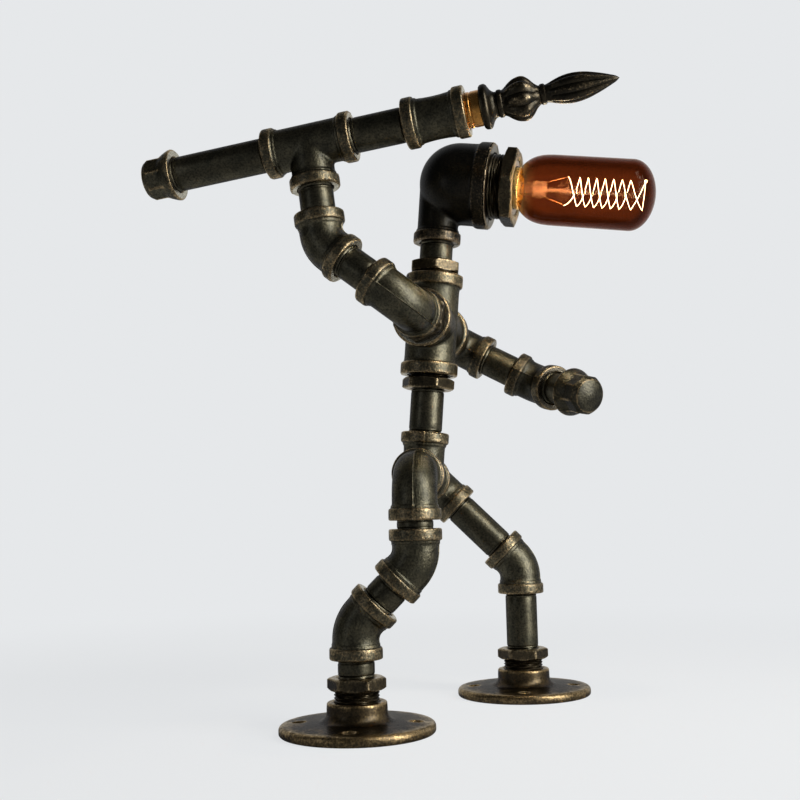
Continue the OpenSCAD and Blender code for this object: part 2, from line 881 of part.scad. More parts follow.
right_foot_flange();
right_foot_bushing();
right_shin_nipple();
right_ankle_elbow();
right_calf_nipple();
right_knee_elbow();
right_thigh_nipple();
right_hip_elbow();
right_hip_nipple();
hip_tee();
left_hip_nipple();
left_hip_elbow();
left_thigh_pipe();
left_knee_elbow();
left_shin_pipe();
left_foot_bushing();
left_foot_flange();
waist_pipe();
waist_bushing();
chest_cross();
neck_bushing();
neck_nipple();
head_elbow();
head_bushing();
lamp_holder();
holder_shell();
holder_contact();
bulb_cap();
bulb_insulator();
bulb_glass();
bulb_stem();
bulb_filament();
right_shoulder_bushing();
right_shoulder_nipple();
right_shoulder_elbow();
right_arm_nipple();
right_forearm_elbow();
right_wrist_nipple();
launcher_tee();
launcher_rear_pipe();
launcher_rear_cap();
launcher_front_pipe();
launcher_coupling();
launcher_adapter();
spear_finial();
left_shoulder_bushing();
left_shoulder_nipple();
left_shoulder_elbow();
left_arm_nipple();
left_forearm_elbow();
left_wrist_nipple();
left_hand_cap();
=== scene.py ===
# Desk lamp in the shape of a walking figure, screwed together from malleable iron pipe fittings.
import json
from math import asin, cos, pi, radians, sin, tan

import bmesh
import bpy
from mathutils import Matrix, Vector

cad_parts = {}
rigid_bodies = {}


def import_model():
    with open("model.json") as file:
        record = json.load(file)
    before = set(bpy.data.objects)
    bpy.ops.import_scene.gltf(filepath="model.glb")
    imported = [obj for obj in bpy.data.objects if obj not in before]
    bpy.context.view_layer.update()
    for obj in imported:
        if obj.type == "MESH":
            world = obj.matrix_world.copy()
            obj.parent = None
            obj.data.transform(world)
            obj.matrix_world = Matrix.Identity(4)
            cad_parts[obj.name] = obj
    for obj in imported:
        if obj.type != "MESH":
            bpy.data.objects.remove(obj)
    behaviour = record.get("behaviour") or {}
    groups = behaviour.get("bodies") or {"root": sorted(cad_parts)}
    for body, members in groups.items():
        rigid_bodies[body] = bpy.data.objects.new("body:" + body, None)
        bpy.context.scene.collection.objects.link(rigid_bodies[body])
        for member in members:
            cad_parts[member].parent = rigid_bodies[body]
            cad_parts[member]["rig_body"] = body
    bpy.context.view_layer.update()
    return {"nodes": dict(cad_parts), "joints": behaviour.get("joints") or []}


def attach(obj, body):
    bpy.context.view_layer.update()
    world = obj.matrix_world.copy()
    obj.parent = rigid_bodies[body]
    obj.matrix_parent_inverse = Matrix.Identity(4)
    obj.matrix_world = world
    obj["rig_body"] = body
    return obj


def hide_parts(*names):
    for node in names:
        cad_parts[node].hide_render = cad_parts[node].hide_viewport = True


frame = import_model()
scene = bpy.context.scene


# ---- Camera, lights and floor ----
# The lamp is seen from its right side, a little from below the head. It stands on a pale floor that
# fades into a pale backdrop behind it, with a dimmer room in front. A tall soft box far round to the
# right draws the light down the pipes.

def shader(tree, kind, sockets, **settings):
    """Adds a shader node. A socket takes a value, or another node's output."""
    node = tree.nodes.new("ShaderNode" + kind)
    for key, value in settings.items():
        setattr(node, key, value)
    for key, value in sockets.items():
        if isinstance(value, bpy.types.NodeSocket):
            tree.links.new(value, node.inputs[key])
        else:
            node.inputs[key].default_value = value
    return node.outputs


BACKDROP = (0.791, 0.807, 0.823, 1)
joints = {joint["name"]: joint for joint in frame["joints"]}
hips_at = Vector(joints["body_lean"]["pos_m"])

eye = Vector((hips_at.x + 0.0541, -0.7239, 0.1201))
yaw, pitch, roll = radians(5.19), radians(5.94), radians(-1.4)
ahead = Vector((-sin(yaw) * cos(pitch), cos(yaw) * cos(pitch), sin(pitch)))
level = Vector((cos(yaw), sin(yaw), 0))
above = level.cross(ahead)
right_way = cos(roll) * level + sin(roll) * above
up_way = cos(roll) * above - sin(roll) * level
camera = bpy.data.objects.new("camera", bpy.data.cameras.new("camera"))
camera.data.sensor_width = 36
camera.data.lens = 50.88
camera.data.shift_x = -0.0034
camera.data.shift_y = 0.0035
camera.data.clip_start = 0.02
camera.matrix_world = Matrix((
    (right_way.x, up_way.x, -ahead.x, eye.x),
    (right_way.y, up_way.y, -ahead.y, eye.y),
    (right_way.z, up_way.z, -ahead.z, eye.z),
    (0, 0, 0, 1),
))
scene.collection.objects.link(camera)
scene.camera = camera
scene.view_settings.view_transform = "Standard"


def seen(tree, mirrored):
    """How far a ray shows the backdrop: wholly straight or through glass, and less when mirrored"""
    path = shader(tree, "LightPath", {})
    gloss = shader(tree, "Math", {0: path["Is Glossy Ray"], 1: mirrored}, operation="MULTIPLY")[0]
    shown = shader(tree, "Math", {0: path["Is Camera Ray"], 1: gloss}, operation="MAXIMUM")[0]
    return shader(tree, "Math", {0: shown, 1: path["Is Transmission Ray"]}, operation="MAXIMUM")[0]


world = bpy.data.worlds.new("backdrop")
world.use_nodes = True
tree = world.node_tree
tree.nodes.clear()
plain = shader(tree, "Background", {"Color": (0.96, 0.98, 1, 1), "Strength": 0.06})[0]
pale = shader(tree, "Background", {"Color": BACKDROP, "Strength": 1})[0]
way = shader(tree, "SeparateXYZ", {"Vector": shader(tree, "TexCoord", {})["Generated"]})
behind = shader(tree, "MapRange", {"Value": way["Y"], "From Min": 0, "From Max": 0.6},
                interpolation_type="SMOOTHSTEP")[0]
mixed = shader(tree, "MixShader", {0: seen(tree, behind), 1: plain, 2: pale})[0]
shader(tree, "OutputWorld", {"Surface": mixed})
scene.world = world

bm = bmesh.new()
bmesh.ops.create_grid(bm, x_segments=8, y_segments=8, size=5)
floor_mesh = bpy.data.meshes.new("floor")
bm.to_mesh(floor_mesh)
bm.free()
paper = bpy.data.materials.new("paper")
paper.use_nodes = True
tree = paper.node_tree
tree.nodes.clear()
lit = shader(tree, "BsdfDiffuse", {"Color": (0.12, 0.122, 0.125, 1)})[0]
glow = shader(tree, "Emission", {"Color": BACKDROP, "Strength": 0.9})[0]
near = shader(tree, "AddShader", {0: lit, 1: glow})[0]
far = shader(tree, "Emission", {"Color": BACKDROP, "Strength": 1})[0]
away = shader(tree, "VectorMath", {0: shader(tree, "TexCoord", {})["Object"]}, operation="LENGTH")[1]
away = shader(tree, "MapRange", {"Value": away, "From Min": 0.2, "From Max": 0.9},
              interpolation_type="SMOOTHSTEP")[0]
both = shader(tree, "MixShader", {0: away, 1: near, 2: far})[0]
matt = shader(tree, "BsdfDiffuse", {"Color": (0.3, 0.3, 0.3, 1)})[0]
across = shader(tree, "SeparateXYZ", {"Vector": shader(tree, "TexCoord", {})["Object"]})["Y"]
behind = shader(tree, "MapRange", {"Value": across, "From Min": -0.25, "From Max": 0.35,
                                   "To Min": 0.15}, interpolation_type="SMOOTHSTEP")[0]
mixed = shader(tree, "MixShader", {0: seen(tree, behind), 1: matt, 2: both})[0]
shader(tree, "OutputMaterial", {"Surface": mixed})
floor_mesh.materials.append(paper)
floor = bpy.data.objects.new("floor", floor_mesh)
scene.collection.objects.link(floor)


def soft_box(name, place, aim, width, height, power, colour):
    """Soft light of a size, turned to shine from its place to its aim"""
    lamp = bpy.data.lights.new(name, "AREA")
    lamp.shape = "RECTANGLE"
    lamp.size = width
    lamp.size_y = height
    lamp.energy = power
    lamp.color = colour
    obj = bpy.data.objects.new(name, lamp)
    turn_to = (Vector(place) - Vector(aim)).to_track_quat("Z", "Y")
    obj.matrix_world = Matrix.Translation(place) @ turn_to.to_matrix().to_4x4()
    obj.visible_camera = False
    obj.visible_transmission = False
    scene.collection.objects.link(obj)


soft_box("key", (0.95, -0.5, 0.45), (0, 0, 0.2), 0.6, 0.9, 15, (1, 0.985, 0.93))
soft_box("top", (0.62, -0.45, 0.9), (0, 0, 0.25), 0.3, 0.3, 2.6, (1, 0.98, 0.92))
soft_box("fill", (-0.75, -0.75, 0.35), (0, 0, 0.18), 0.3, 0.6, 0.4, (0.95, 0.98, 1))


# ---- Floor flanges ----
# Two cast iron floor flanges, Ø90, with a tapped hub and four countersunk holes for wood screws.
# Their rims and hubs are rubbed bare to a brown gold, and each carries one leg.

def step(distance):
    """Place further along a run, in millimetres"""
    return Matrix.Translation((0, 0, distance))


def spun(degrees, axis="Z"):
    """Place turned about one of its own axes"""
    return Matrix.Rotation(radians(degrees), 4, axis)


def turn(bend, roll=0):
    """A run through a bend towards its own +X, then rolled about the new run"""
    return spun(bend, "Y") @ spun(roll)


flip = spun(180, "X")
hips = Matrix.Translation(hips_at * 1000)
hip_run, right_thigh_run, right_calf_run, right_shin_run = 68, 51.7, 50.8, 60.4
left_thigh_run, left_shin_run = 85.7, 87.42
right_hip = hips @ spun(90, "X") @ spun(-90)
right_thigh = right_hip @ step(hip_run) @ turn(90, -90)
right_calf = right_thigh @ step(right_thigh_run) @ turn(45, 180)
right_shin = right_calf @ step(right_calf_run) @ turn(45)
left_hip = hips @ spun(-90, "X") @ spun(45)
left_thigh = left_hip @ step(hip_run) @ turn(90, 90)
left_shin = left_thigh @ step(left_thigh_run) @ turn(45)


def turned(stations, sides=96, path=step, shape=None):
    """Skin drawn ring by ring along a path. A station is (distance, radius, how rubbed it is)."""
    bm = bmesh.new()
    bmesh.ops.create_grid(bm, x_segments=sides, y_segments=len(stations) - 1, size=1)
    rub = bm.verts.layers.float.new("rub")
    places = [path(station[0]) for station in stations]
    for n, vert in enumerate(bm.verts):
        row, column = divmod(n, sides + 1)
        distance, radius, worn = stations[row]
        a = 2 * pi * (column % sides) / sides
        lift = 0
        if shape:
            a, radius, worn, lift = shape(distance, radius, worn, a)
        vert.co = places[row] @ Vector((radius * cos(a), radius * sin(a), lift))
        vert[rub] = worn
    bmesh.ops.remove_doubles(bm, verts=bm.verts[:], dist=0.001)
    bmesh.ops.recalc_face_normals(bm, faces=bm.faces[:])
    return bm


def add_to(whole, part):
    """Puts one mesh into another, and frees it"""
    mesh = bpy.data.meshes.new("part")
    part.to_mesh(mesh)
    part.free()
    whole.from_mesh(mesh)
    bpy.data.meshes.remove(mesh)


def round_off(x, y, r, first, last, steps, worn):
    """Stations of a rounded edge: x runs along the axis and y out from it"""
    angles = [radians(first + (last - first) * n / steps) for n in range(steps + 1)]
    return [(x + r * sin(a), y + r * cos(a), worn) for a in angles]


def worked(bm, modifier, **settings):
    """The mesh after one modifier"""
    mesh = bpy.data.meshes.new("blank")
    bm.to_mesh(mesh)
    bm.free()
    blank = bpy.data.objects.new("blank", mesh)
    scene.collection.objects.link(blank)
    tool = blank.modifiers.new("tool", modifier)
    for key, value in settings.items():
        setattr(tool, key, value)
    done = bpy.data.meshes.new_from_object(blank.evaluated_get(bpy.context.evaluated_depsgraph_get()))
    bm = bmesh.new()
    bm.from_mesh(done)
    bpy.data.objects.remove(blank)
    bpy.data.meshes.remove(mesh)
    bpy.data.meshes.remove(done)
    return bm


def dress(bm, node, place, finish, name=None, sharp=35):
    """Makes the mesh the piece that stands for a node, in the place of that node"""
    mesh = bpy.data.meshes.new(name or node + "_piece")
    bm.to_mesh(mesh)
    bm.free()
    mesh.transform(Matrix.Scale(0.001, 4) @ place)
    mesh.shade_smooth()
    mesh.set_sharp_from_angle(angle=radians(sharp))
    mesh.materials.append(finish)
    piece = bpy.data.objects.new(mesh.name, mesh)
    scene.collection.objects.link(piece)
    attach(piece, frame["nodes"][node]["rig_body"])
    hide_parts(node)
    return piece


def new_finish(name):
    """A material, its nodes, and the shader that they feed"""
    finish = bpy.data.materials.new(name)
    finish.use_nodes = True
    return finish, finish.node_tree, finish.node_tree.nodes["Principled BSDF"]


def noise(tree, spot, scale, detail=2, rugged=0.5):
    """Cloudy pattern over the surface, with finer detail in it"""
    return shader(tree, "TexNoise", {"Vector": spot, "Scale": scale, "Detail": detail,
                                     "Roughness": rugged})[0]


def worn_metal(name, dark, warm, bare, pebble, rough, bare_from, tooled=(0.42, 0.40, 0.33, 1)):
    """Blackened metal under clear lacquer: dark in the hollows, warmer in patches, rubbed bare on its
    edges, and of its tooled colour where a tool has faced it"""
    finish, tree, metal = new_finish(name)
    spot = shader(tree, "TexCoord", {})["Object"]
    rubbed = shader(tree, "Attribute", {}, attribute_name="rub")["Fac"]
    patch, speckle = noise(tree, spot, 110, 5, 0.6), noise(tree, spot, 760, 5, 0.65)
    pebbles, grit = noise(tree, spot, 850, 3, 0.55), noise(tree, spot, 2600)
    uneven = shader(tree, "Math", {0: patch, 1: 0.8}, operation="MULTIPLY")[0]
    uneven = shader(tree, "Math", {0: speckle, 1: 1.9, 2: uneven}, operation="MULTIPLY_ADD")[0]
    uneven = shader(tree, "Math", {0: rubbed, 1: 0.9, 2: uneven}, operation="MULTIPLY_ADD")[0]
    bared = shader(tree, "MapRange", {"Value": uneven, "From Min": bare_from + 1.2,
                                      "From Max": bare_from + 2}, interpolation_type="SMOOTHSTEP")[0]
    warmed = shader(tree, "Math", {0: rubbed, 1: 0.1, 2: patch}, operation="MULTIPLY_ADD")[0]
    patches = shader(tree, "MapRange", {"Value": warmed, "From Min": 0.35, "From Max": 0.8})[0]
    skin = shader(tree, "Mix", {0: patches, 6: dark, 7: warm}, data_type="RGBA")[2]
    skin = shader(tree, "Mix", {0: bared, 6: skin, 7: bare}, data_type="RGBA")[2]
    faced = shader(tree, "MapRange", {"Value": rubbed, "From Min": 1.1, "From Max": 1.4})[0]
    skin = shader(tree, "Mix", {0: faced, 6: skin, 7: tooled}, data_type="RGBA")[2]
    hollow = shader(tree, "MapRange", {"Value": pebbles, "From Min": 0.3, "From Max": 0.6,
                                       "To Min": 0.35, "To Max": 1.2})[0]
    skin = shader(tree, "VectorMath", {0: skin, 3: hollow}, operation="SCALE")[0]
    tree.links.new(skin, metal.inputs["Base Color"])
    sheen = shader(tree, "MapRange", {"Value": bared, "To Min": rough, "To Max": rough - 0.12})[0]
    sheen = shader(tree, "Math", {0: grit, 1: 0.12, 2: sheen}, operation="MULTIPLY_ADD")[0]
    tree.links.new(sheen, metal.inputs["Roughness"])
    relief = shader(tree, "Math", {0: grit, 1: 0.25, 2: pebbles}, operation="MULTIPLY_ADD")[0]
    bump = shader(tree, "Bump", {"Height": relief, "Strength": 1, "Distance": pebble * 0.001})[0]
    tree.links.new(bump, metal.inputs["Normal"])
    metal.inputs["Metallic"].default_value = 1
    metal.inputs["Coat Weight"].default_value = 0.25
    metal.inputs["Coat Roughness"].default_value = 0.3
    edge = shader(tree, "Mix", {0: bared, 6: (0.2, 0.18, 0.14, 1), 7: (0.9, 0.85, 0.75, 1)},
                  data_type="RGBA")[2]
    tree.links.new(edge, metal.inputs["Specular Tint"])
    return finish


flange_iron = worn_metal("flange_iron", (0.030, 0.022, 0.012, 1), (0.105, 0.074, 0.035, 1),
                         (0.33, 0.23, 0.11, 1), 0.18, 0.33, 0.38)

rim_r, hub_r, fillet_r, tapped_r = 45, 17.5, 5.5, 13.3
flange_side = [(0, 14.3, 0), (0, 43.2, 0.2)]
flange_side += round_off(1.8, rim_r - 1.8, 1.8, -80, 0, 4, 0.35)
flange_side += round_off(3.4, rim_r - 2.6, 2.6, 8, 86, 6, 0.75)
flange_side += [(6.15, 39, 0.45), (6.3, 36, 0.3), (6.5, 32, 0.25), (6.7, 28.5, 0.2), (6.85, 25.5, 0.15)]
flange_side += [(7 + fillet_r * (1 - cos(radians(b))), hub_r + fillet_r * (1 - sin(radians(b))), 0.1)
                for b in range(0, 91, 10)]
flange_side += [(14.3, hub_r, 0.2), (16, hub_r - 0.1, 0.35)]
flange_side += round_off(16.6, hub_r - 1.5, 1.4, 15, 80, 4, 0.8)
flange_side += [(18, 15.4, 0.8), (18, 14, 0.7), (17.4, tapped_r, 0.4), (6, tapped_r, 0), (6, 14.3, 0),
                (0, 14.3, 0)]
screw_circle, screw_r, countersunk_r = 34, 2.75, 5.5
countersink = [(-1, 0, 0), (-1, screw_r, 0), (4.8, screw_r, 0), (7.5, screw_r + 2.7, 0),
               (9, countersunk_r, 0), (9, 0, 0)]
holes = [Vector((screw_circle * cos(pi / 2 * n), screw_circle * sin(pi / 2 * n))) for n in range(4)]

for side, shin, run in (("right", right_shin, right_shin_run), ("left", left_shin, left_shin_run)):
    drills = bmesh.new()
    for n in range(4):
        drill = turned(countersink, sides=40)
        drill.transform(spun(90 * n) @ Matrix.Translation((screw_circle, 0, 0)))
        add_to(drills, drill)
    drill_mesh = bpy.data.meshes.new("drills")
    drills.to_mesh(drill_mesh)
    drills.free()
    drill_obj = bpy.data.objects.new("drills", drill_mesh)
    scene.collection.objects.link(drill_obj)
    bm = worked(turned(flange_side, sides=144), "BOOLEAN", object=drill_obj, operation="DIFFERENCE",
                solver="EXACT")
    bpy.data.objects.remove(drill_obj)
    bpy.data.meshes.remove(drill_mesh)
    rub = bm.verts.layers.float["rub"]
    for vert in bm.verts:
        to_axis = Vector(vert.co.xy).length
        nearest = min(flange_side, key=lambda s: abs(s[0] - vert.co.z) + abs(s[1] - to_axis))
        vert[rub] = nearest[2]
        to_hole = min((vert.co.xy - hole).length for hole in holes)
        if vert.co.z > 4 and to_hole < countersunk_r + 0.1:
            vert[rub] = 0.75
    dress(bm, side + "_foot_flange", shin @ step(run) @ flip, flange_iron)


# ---- Hexagon reducing bushings ----
# Cast iron bushings, three quarter inch outside and half inch inside: two in the foot flanges, one under the
# chest, one at the neck and one at each shoulder. A spanner has rubbed their corners bare; those at the shoulders
# are given less rub as painted shade, since they sit in the shade of the elbows.

elbow_face, bend_face, cross_face = 28, 19, 33  # from the middle of a fitting to its mouth
lean, chest_run, chest_turned, right_raised, left_raised = 5, 97.8, -8, 146.5, 24
body = hips @ spun(lean, "Y")
chest = body @ step(chest_run) @ spun(chest_turned)
right_shoulder = chest @ spun(90, "X") @ spun(right_raised)
left_shoulder = chest @ spun(-90, "X") @ spun(left_raised)
PITCH = 1.814


def thread_cut(distance, a):
    """0 at the crest of a screw thread and 1 at its root"""
    return 1 - abs(2 * ((distance / PITCH - a / (2 * pi)) % 1) - 1)


def hexagon(a, across, edge_r):
    """Radius of a hexagon at an angle, its corners a little blunt"""
    off = (a + pi / 6) % (pi / 3) - pi / 6
    return min(across / 2 / cos(pi / 6 - abs(off)), edge_r)


def bushing_form(thread_r, thread_l, across, height, bore_r, wear_and_shade):
    """Hexagon on z = 0 and its male thread below, thread_l of it in sight"""
    thread_deep, thread_ring, hidden_l = 0.95, 0.24, 11.8
    corner = across / 2 / cos(pi / 6)
    bevel = corner - across / 2
    end = -thread_l - hidden_l

    def shape(distance, radius, worn, a):
        if radius < 0:  # a station of the thread
            cut = thread_cut(distance, a) * min(1, max(0, -distance / 0.6))
            return a, thread_r - thread_deep * cut, 0.35 * (1 - cut) * wear_and_shade, 0
        if radius > across / 2 - 0.5:
            flat = hexagon(a, across, corner - 0.35)
            edge = max(0, (flat - across / 2) / bevel - 0.45) * 1.5
            return a, min(flat, radius), max(worn, 0.25 + edge) * wear_and_shade, 0
        return a, radius, worn * wear_and_shade, 0

    threads = int((thread_l + 1.2) / thread_ring)
    stations = [(end, bore_r - 1, 0), (end, thread_r - 1, 0), (-thread_l - 1.3, thread_r - 1, 0)]
    stations += [(-thread_l - 1.2 + (thread_l + 1.2) * n / threads, -1, 0) for n in range(threads + 1)]
    stations += [(0, across / 2 + 0.1, 0.6), (0.5, across / 2 + 0.45 * bevel, 0.75)]
    stations += [(1.15, corner, 0.4), (2, corner, 0.25), (height / 2, corner, 0.2)]
    stations += [(height - 2, corner, 0.25), (height - 1.15, corner, 0.6)]
    stations += [(height - 0.55, across / 2 + 0.5 * bevel, 0.95)]
    stations += [(height, across / 2 - 0.2, 1.1), (height, across / 2 - 2, 1)]
    stations += [(height, bore_r + 1.1, 1), (height - 0.9, bore_r, 0.6), (end, bore_r - 1, 0)]
    return turned(stations, sides=120, shape=shape)


hex_iron = worn_metal("hex_iron", (0.030, 0.024, 0.014, 1), (0.090, 0.070, 0.040, 1),
                      (0.30, 0.23, 0.135, 1), 0.14, 0.33, 0.5)
foot_thread, waist_thread, cross_thread, hex_h = 6.6, 2, 1.5, 7
right_shin_gap, left_shin_gap = 9.8, 36.82
# The last number scales each bushing's rub: wear, and at the shoulders it is cut to 0.4 as painted shade
for node, place, thread_l, wear_and_shade in (
    ("right_foot_bushing", right_shin @ step(bend_face + right_shin_gap + hex_h) @ flip,
     foot_thread, 1),
    ("left_foot_bushing", left_shin @ step(bend_face + left_shin_gap + hex_h) @ flip, foot_thread, 1),
    ("waist_bushing", chest @ flip @ step(cross_face + waist_thread), waist_thread, 1),
    ("neck_bushing", chest @ step(cross_face + cross_thread) @ spun(41), cross_thread, 0.8),
    ("right_shoulder_bushing", right_shoulder @ step(cross_face + cross_thread), cross_thread, 0.4),
    ("left_shoulder_bushing", left_shoulder @ step(cross_face + cross_thread), cross_thread, 0.4),
):
    dress(bushing_form(13.2, thread_l, 30.3, hex_h, 10.7, wear_and_shade), node, place, hex_iron,
          sharp=30)


# ---- Pipes and nipples ----
# Half inch iron pipe, blackened, with a tapered thread cut on each end that shows for a turn or two
# where it leaves a fitting. The shortest ones are threaded all along.

shoulder_run, right_arm_run, right_wrist_run, left_arm_run = 70, 66, 62.6, 68.4
right_arm = right_shoulder @ step(shoulder_run) @ turn(90, -90)
right_wrist = right_arm @ step(right_arm_run) @ turn(45)
launcher = right_wrist @ step(right_wrist_run)
launcher_run = launcher @ turn(90)
left_arm = left_shoulder @ step(shoulder_run) @ turn(90, -8.5)
left_wrist = left_arm @ step(left_arm_run) @ turn(45)
PIPE_R, BORE_R, REACH = 10.65, 8, 10.8  # a pipe reaches that far into its fitting

pipe_iron = worn_metal("pipe_iron", (0.042, 0.040, 0.027, 1), (0.100, 0.088, 0.057, 1),
                       (0.30, 0.24, 0.16, 1), 0.03, 0.32, 0.62)


def pipe_form(gap):
    """Pipe from z = 0, with gap of it in sight between the two fittings that hold its ends"""
    length = gap + 2 * REACH
    shown = 2.6 if gap > 6 else min(1.3, gap / 2 + 0.1)
    thread_deep, thread_ring = 0.7, 0.26

    def shape(distance, radius, worn, a):
        if radius < PIPE_R:
            return a, radius, worn, 0
        into = min(distance - REACH, length - REACH - distance)
        if into < -0.8 or into > shown:
            return a, radius, worn, 0
        fade = min(1, (shown - into) / 1.6) if gap > 2 else 1
        cut = thread_cut(distance, a) * fade
        return a, radius - thread_deep * cut, 0.75 * (1 - cut) * fade, 0

    outer = [0, REACH - 1]
    finest = [REACH - 0.8 + thread_ring * n for n in range(int((shown + 0.8) / thread_ring) + 1)]
    outer += finest
    if gap > 6:
        room = length - 2 * (REACH + shown)
        outer += [REACH + shown + room * n / 6 for n in range(7)]
    outer += sorted(length - s for s in finest) + [length - REACH + 1, length]
    stations = [(0, BORE_R, 0)] + [(s, PIPE_R, 0.1) for s in outer]
    stations += [(length, BORE_R, 0), (0, BORE_R, 0)]
    return turned(stations, sides=80, shape=shape)


bushing_face = cross_face + cross_thread + hex_h
left_wrist_gap, rear_gap, front_gap = 17.9, 59.8, 32.5
for node, place, face, gap in (
    ("right_shin_nipple", right_shin, bend_face, right_shin_gap),
    ("right_calf_nipple", right_calf, bend_face, 12.8),
    ("right_thigh_nipple", right_thigh, elbow_face, 4.7),
    ("right_hip_nipple", right_hip, elbow_face, 12), ("left_hip_nipple", left_hip, elbow_face, 12),
    ("left_thigh_pipe", left_thigh, elbow_face, 38.7),
    ("left_shin_pipe", left_shin, bend_face, left_shin_gap), ("waist_pipe", body, elbow_face, 27.8),
    ("neck_nipple", chest, bushing_face, 12.3),
    ("right_shoulder_nipple", right_shoulder, bushing_face, 0.5),
    ("right_arm_nipple", right_arm, elbow_face, 19),
    ("right_wrist_nipple", right_wrist, bend_face, 15.6),
    ("launcher_rear_pipe", launcher_run @ flip, elbow_face, rear_gap),
    ("launcher_front_pipe", launcher_run, elbow_face, front_gap),
    ("left_shoulder_nipple", left_shoulder, bushing_face, 0.5),
    ("left_arm_nipple", left_arm, elbow_face, 21.4),
    ("left_wrist_nipple", left_wrist, bend_face, left_wrist_gap),
):
    dress(pipe_form(gap), node, place @ step(face - REACH), pipe_iron)


# ---- Elbows ----
# Malleable cast elbows of 90 and 45 degrees, with a flat bead round each tapped mouth and a second low ring behind
# it. The parting line of the mould runs round them in the plane of the bend. Those of the left arm, on the far
# side, are painted darker than the rest as painted shade.

GRIP, TAP_R, BODY_R = 11, 10.72, 13.25
# Outline of a half inch mouth: depth behind its face, radius, and how rubbed it is
HALF_MOUTH = [
    (0.9, TAP_R, 0.4), (0, 11.8, 1.4), (0, 14.1, 1.4), (0.12, 14.75, 1), (0.42, 15.15, 0.85),
    (0.95, 15.38, 0.8), (1.7, 15.4, 0.62), (3.5, 15.4, 0.56), (5.3, 15.4, 0.62), (6.1, 15.33, 0.75),
    (6.65, 15.05, 0.75), (6.95, 14.6, 0.4), (7.1, 14.2, 0.2), (7.6, 14.08, 0.35), (8.4, 13.98, 0.4),
    (8.75, 13.75, 0.15), (9.1, 13.42, 0.05), (9.8, 13.3, 0.05), (GRIP, BODY_R, 0.05),
]

cast_iron = worn_metal("cast_iron", (0.044, 0.042, 0.029, 1), (0.122, 0.110, 0.072, 1),
                       (0.36, 0.26, 0.14, 1), 0.28, 0.31, 0.5)
# Painted shade: darker base and tooled colours for the far arm's fittings, which stand out of the key light
shaded_far_iron = worn_metal("shaded_far_iron", (0.028, 0.027, 0.020, 1), (0.080, 0.072, 0.048, 1),
                       (0.30, 0.215, 0.115, 1), 0.28, 0.33, 0.55, tooled=(0.11, 0.095, 0.07, 1))


def elbow_form(degrees, face):
    """Elbow from the mouth of a run that comes up +Z, turned towards +X"""
    bend = radians(degrees)
    run = face - GRIP
    radius = run / tan(bend / 2)
    sweep = radius * bend
    total = 2 * GRIP + sweep
    column = 2 * pi / 96  # angle between two columns of the skin

    def path(distance):
        if distance <= GRIP:
            return step(distance - face)
        if distance >= total - GRIP:
            return turn(degrees) @ step(face - (total - distance))
        way = Matrix.Rotation((distance - GRIP) / radius, 4, "Y")
        return Matrix.Translation((radius, 0, -run)) @ way @ Matrix.Translation((-radius, 0, 0))

    def parting(distance, radius, worn, a):
        off = (a + pi / 2) % pi - pi / 2
        if radius < 13 or abs(off) > 1.5 * column:
            return a, radius, worn, 0
        if abs(off) < 0.01:
            return a, radius + (0.5 if radius < 13.9 else 0.15), worn + 0.5, 0
        return a - off * 0.45, radius, worn, 0

    bends = int(sweep / 1.3)
    stations = list(HALF_MOUTH)
    stations += [(GRIP + sweep * n / bends, BODY_R, 0.05) for n in range(1, bends)]
    stations += [(total - t, r, worn) for t, r, worn in reversed(HALF_MOUTH)]
    stations += [(total - GRIP, TAP_R, 0), (total - GRIP, BORE_R, 0)]
    stations += [(GRIP + sweep * n / 6, BORE_R, 0) for n in range(5, 0, -1)]
    stations += [(GRIP, BORE_R, 0), (GRIP, TAP_R, 0), HALF_MOUTH[0]]
    return turned(stations, path=path, shape=parting)


for node, place, degrees, finish in (
    ("right_ankle_elbow", right_calf @ step(right_calf_run), 45, cast_iron),
    ("right_knee_elbow", right_thigh @ step(right_thigh_run), 45, cast_iron),
    ("right_hip_elbow", right_hip @ step(hip_run), 90, cast_iron),
    ("left_hip_elbow", left_hip @ step(hip_run), 90, cast_iron),
    ("left_knee_elbow", left_thigh @ step(left_thigh_run), 45, cast_iron),
    ("right_shoulder_elbow", right_shoulder @ step(shoulder_run), 90, cast_iron),
    ("right_forearm_elbow", right_arm @ step(right_arm_run), 45, cast_iron),
    ("left_shoulder_elbow", left_shoulder @ step(shoulder_run), 90, shaded_far_iron),
    ("left_forearm_elbow", left_arm @ step(left_arm_run), 45, shaded_far_iron),
):
    dress(elbow_form(degrees, elbow_face if degrees == 90 else bend_face), node, place, finish)


# ---- Tees ----
# Two malleable cast tees, one at the hips and one under the launcher. The body of a tee runs
# straight through and the branch grows out of it with a soft fillet.

def solid_run(outline, face, far):
    """Solid stub along +Z that ends in a tapped mouth at face; far is where its other end closes"""
    depth, body_r, _ = outline[-1]
    stations = [(face - depth, 0, 0), (face - depth, outline[0][1], 0)]
    stations += [(face - t, r, 0) for t, r, _ in outline]
    return turned(stations + [(far, body_r, 0), (far, 0, 0)])


def outline_at(outline, depth):
    """Radius and rub of a mouth's outside at a depth behind its face"""
    outside = [s for s in outline if s[0] >= 0.95]
    for near, far in zip(outside, outside[1:]):
        if near[0] <= depth <= far[0]:
            share = (depth - near[0]) / (far[0] - near[0])
            return tuple(near[k] + (far[k] - near[k]) * share for k in (1, 2))
    return outside[-1][1:]


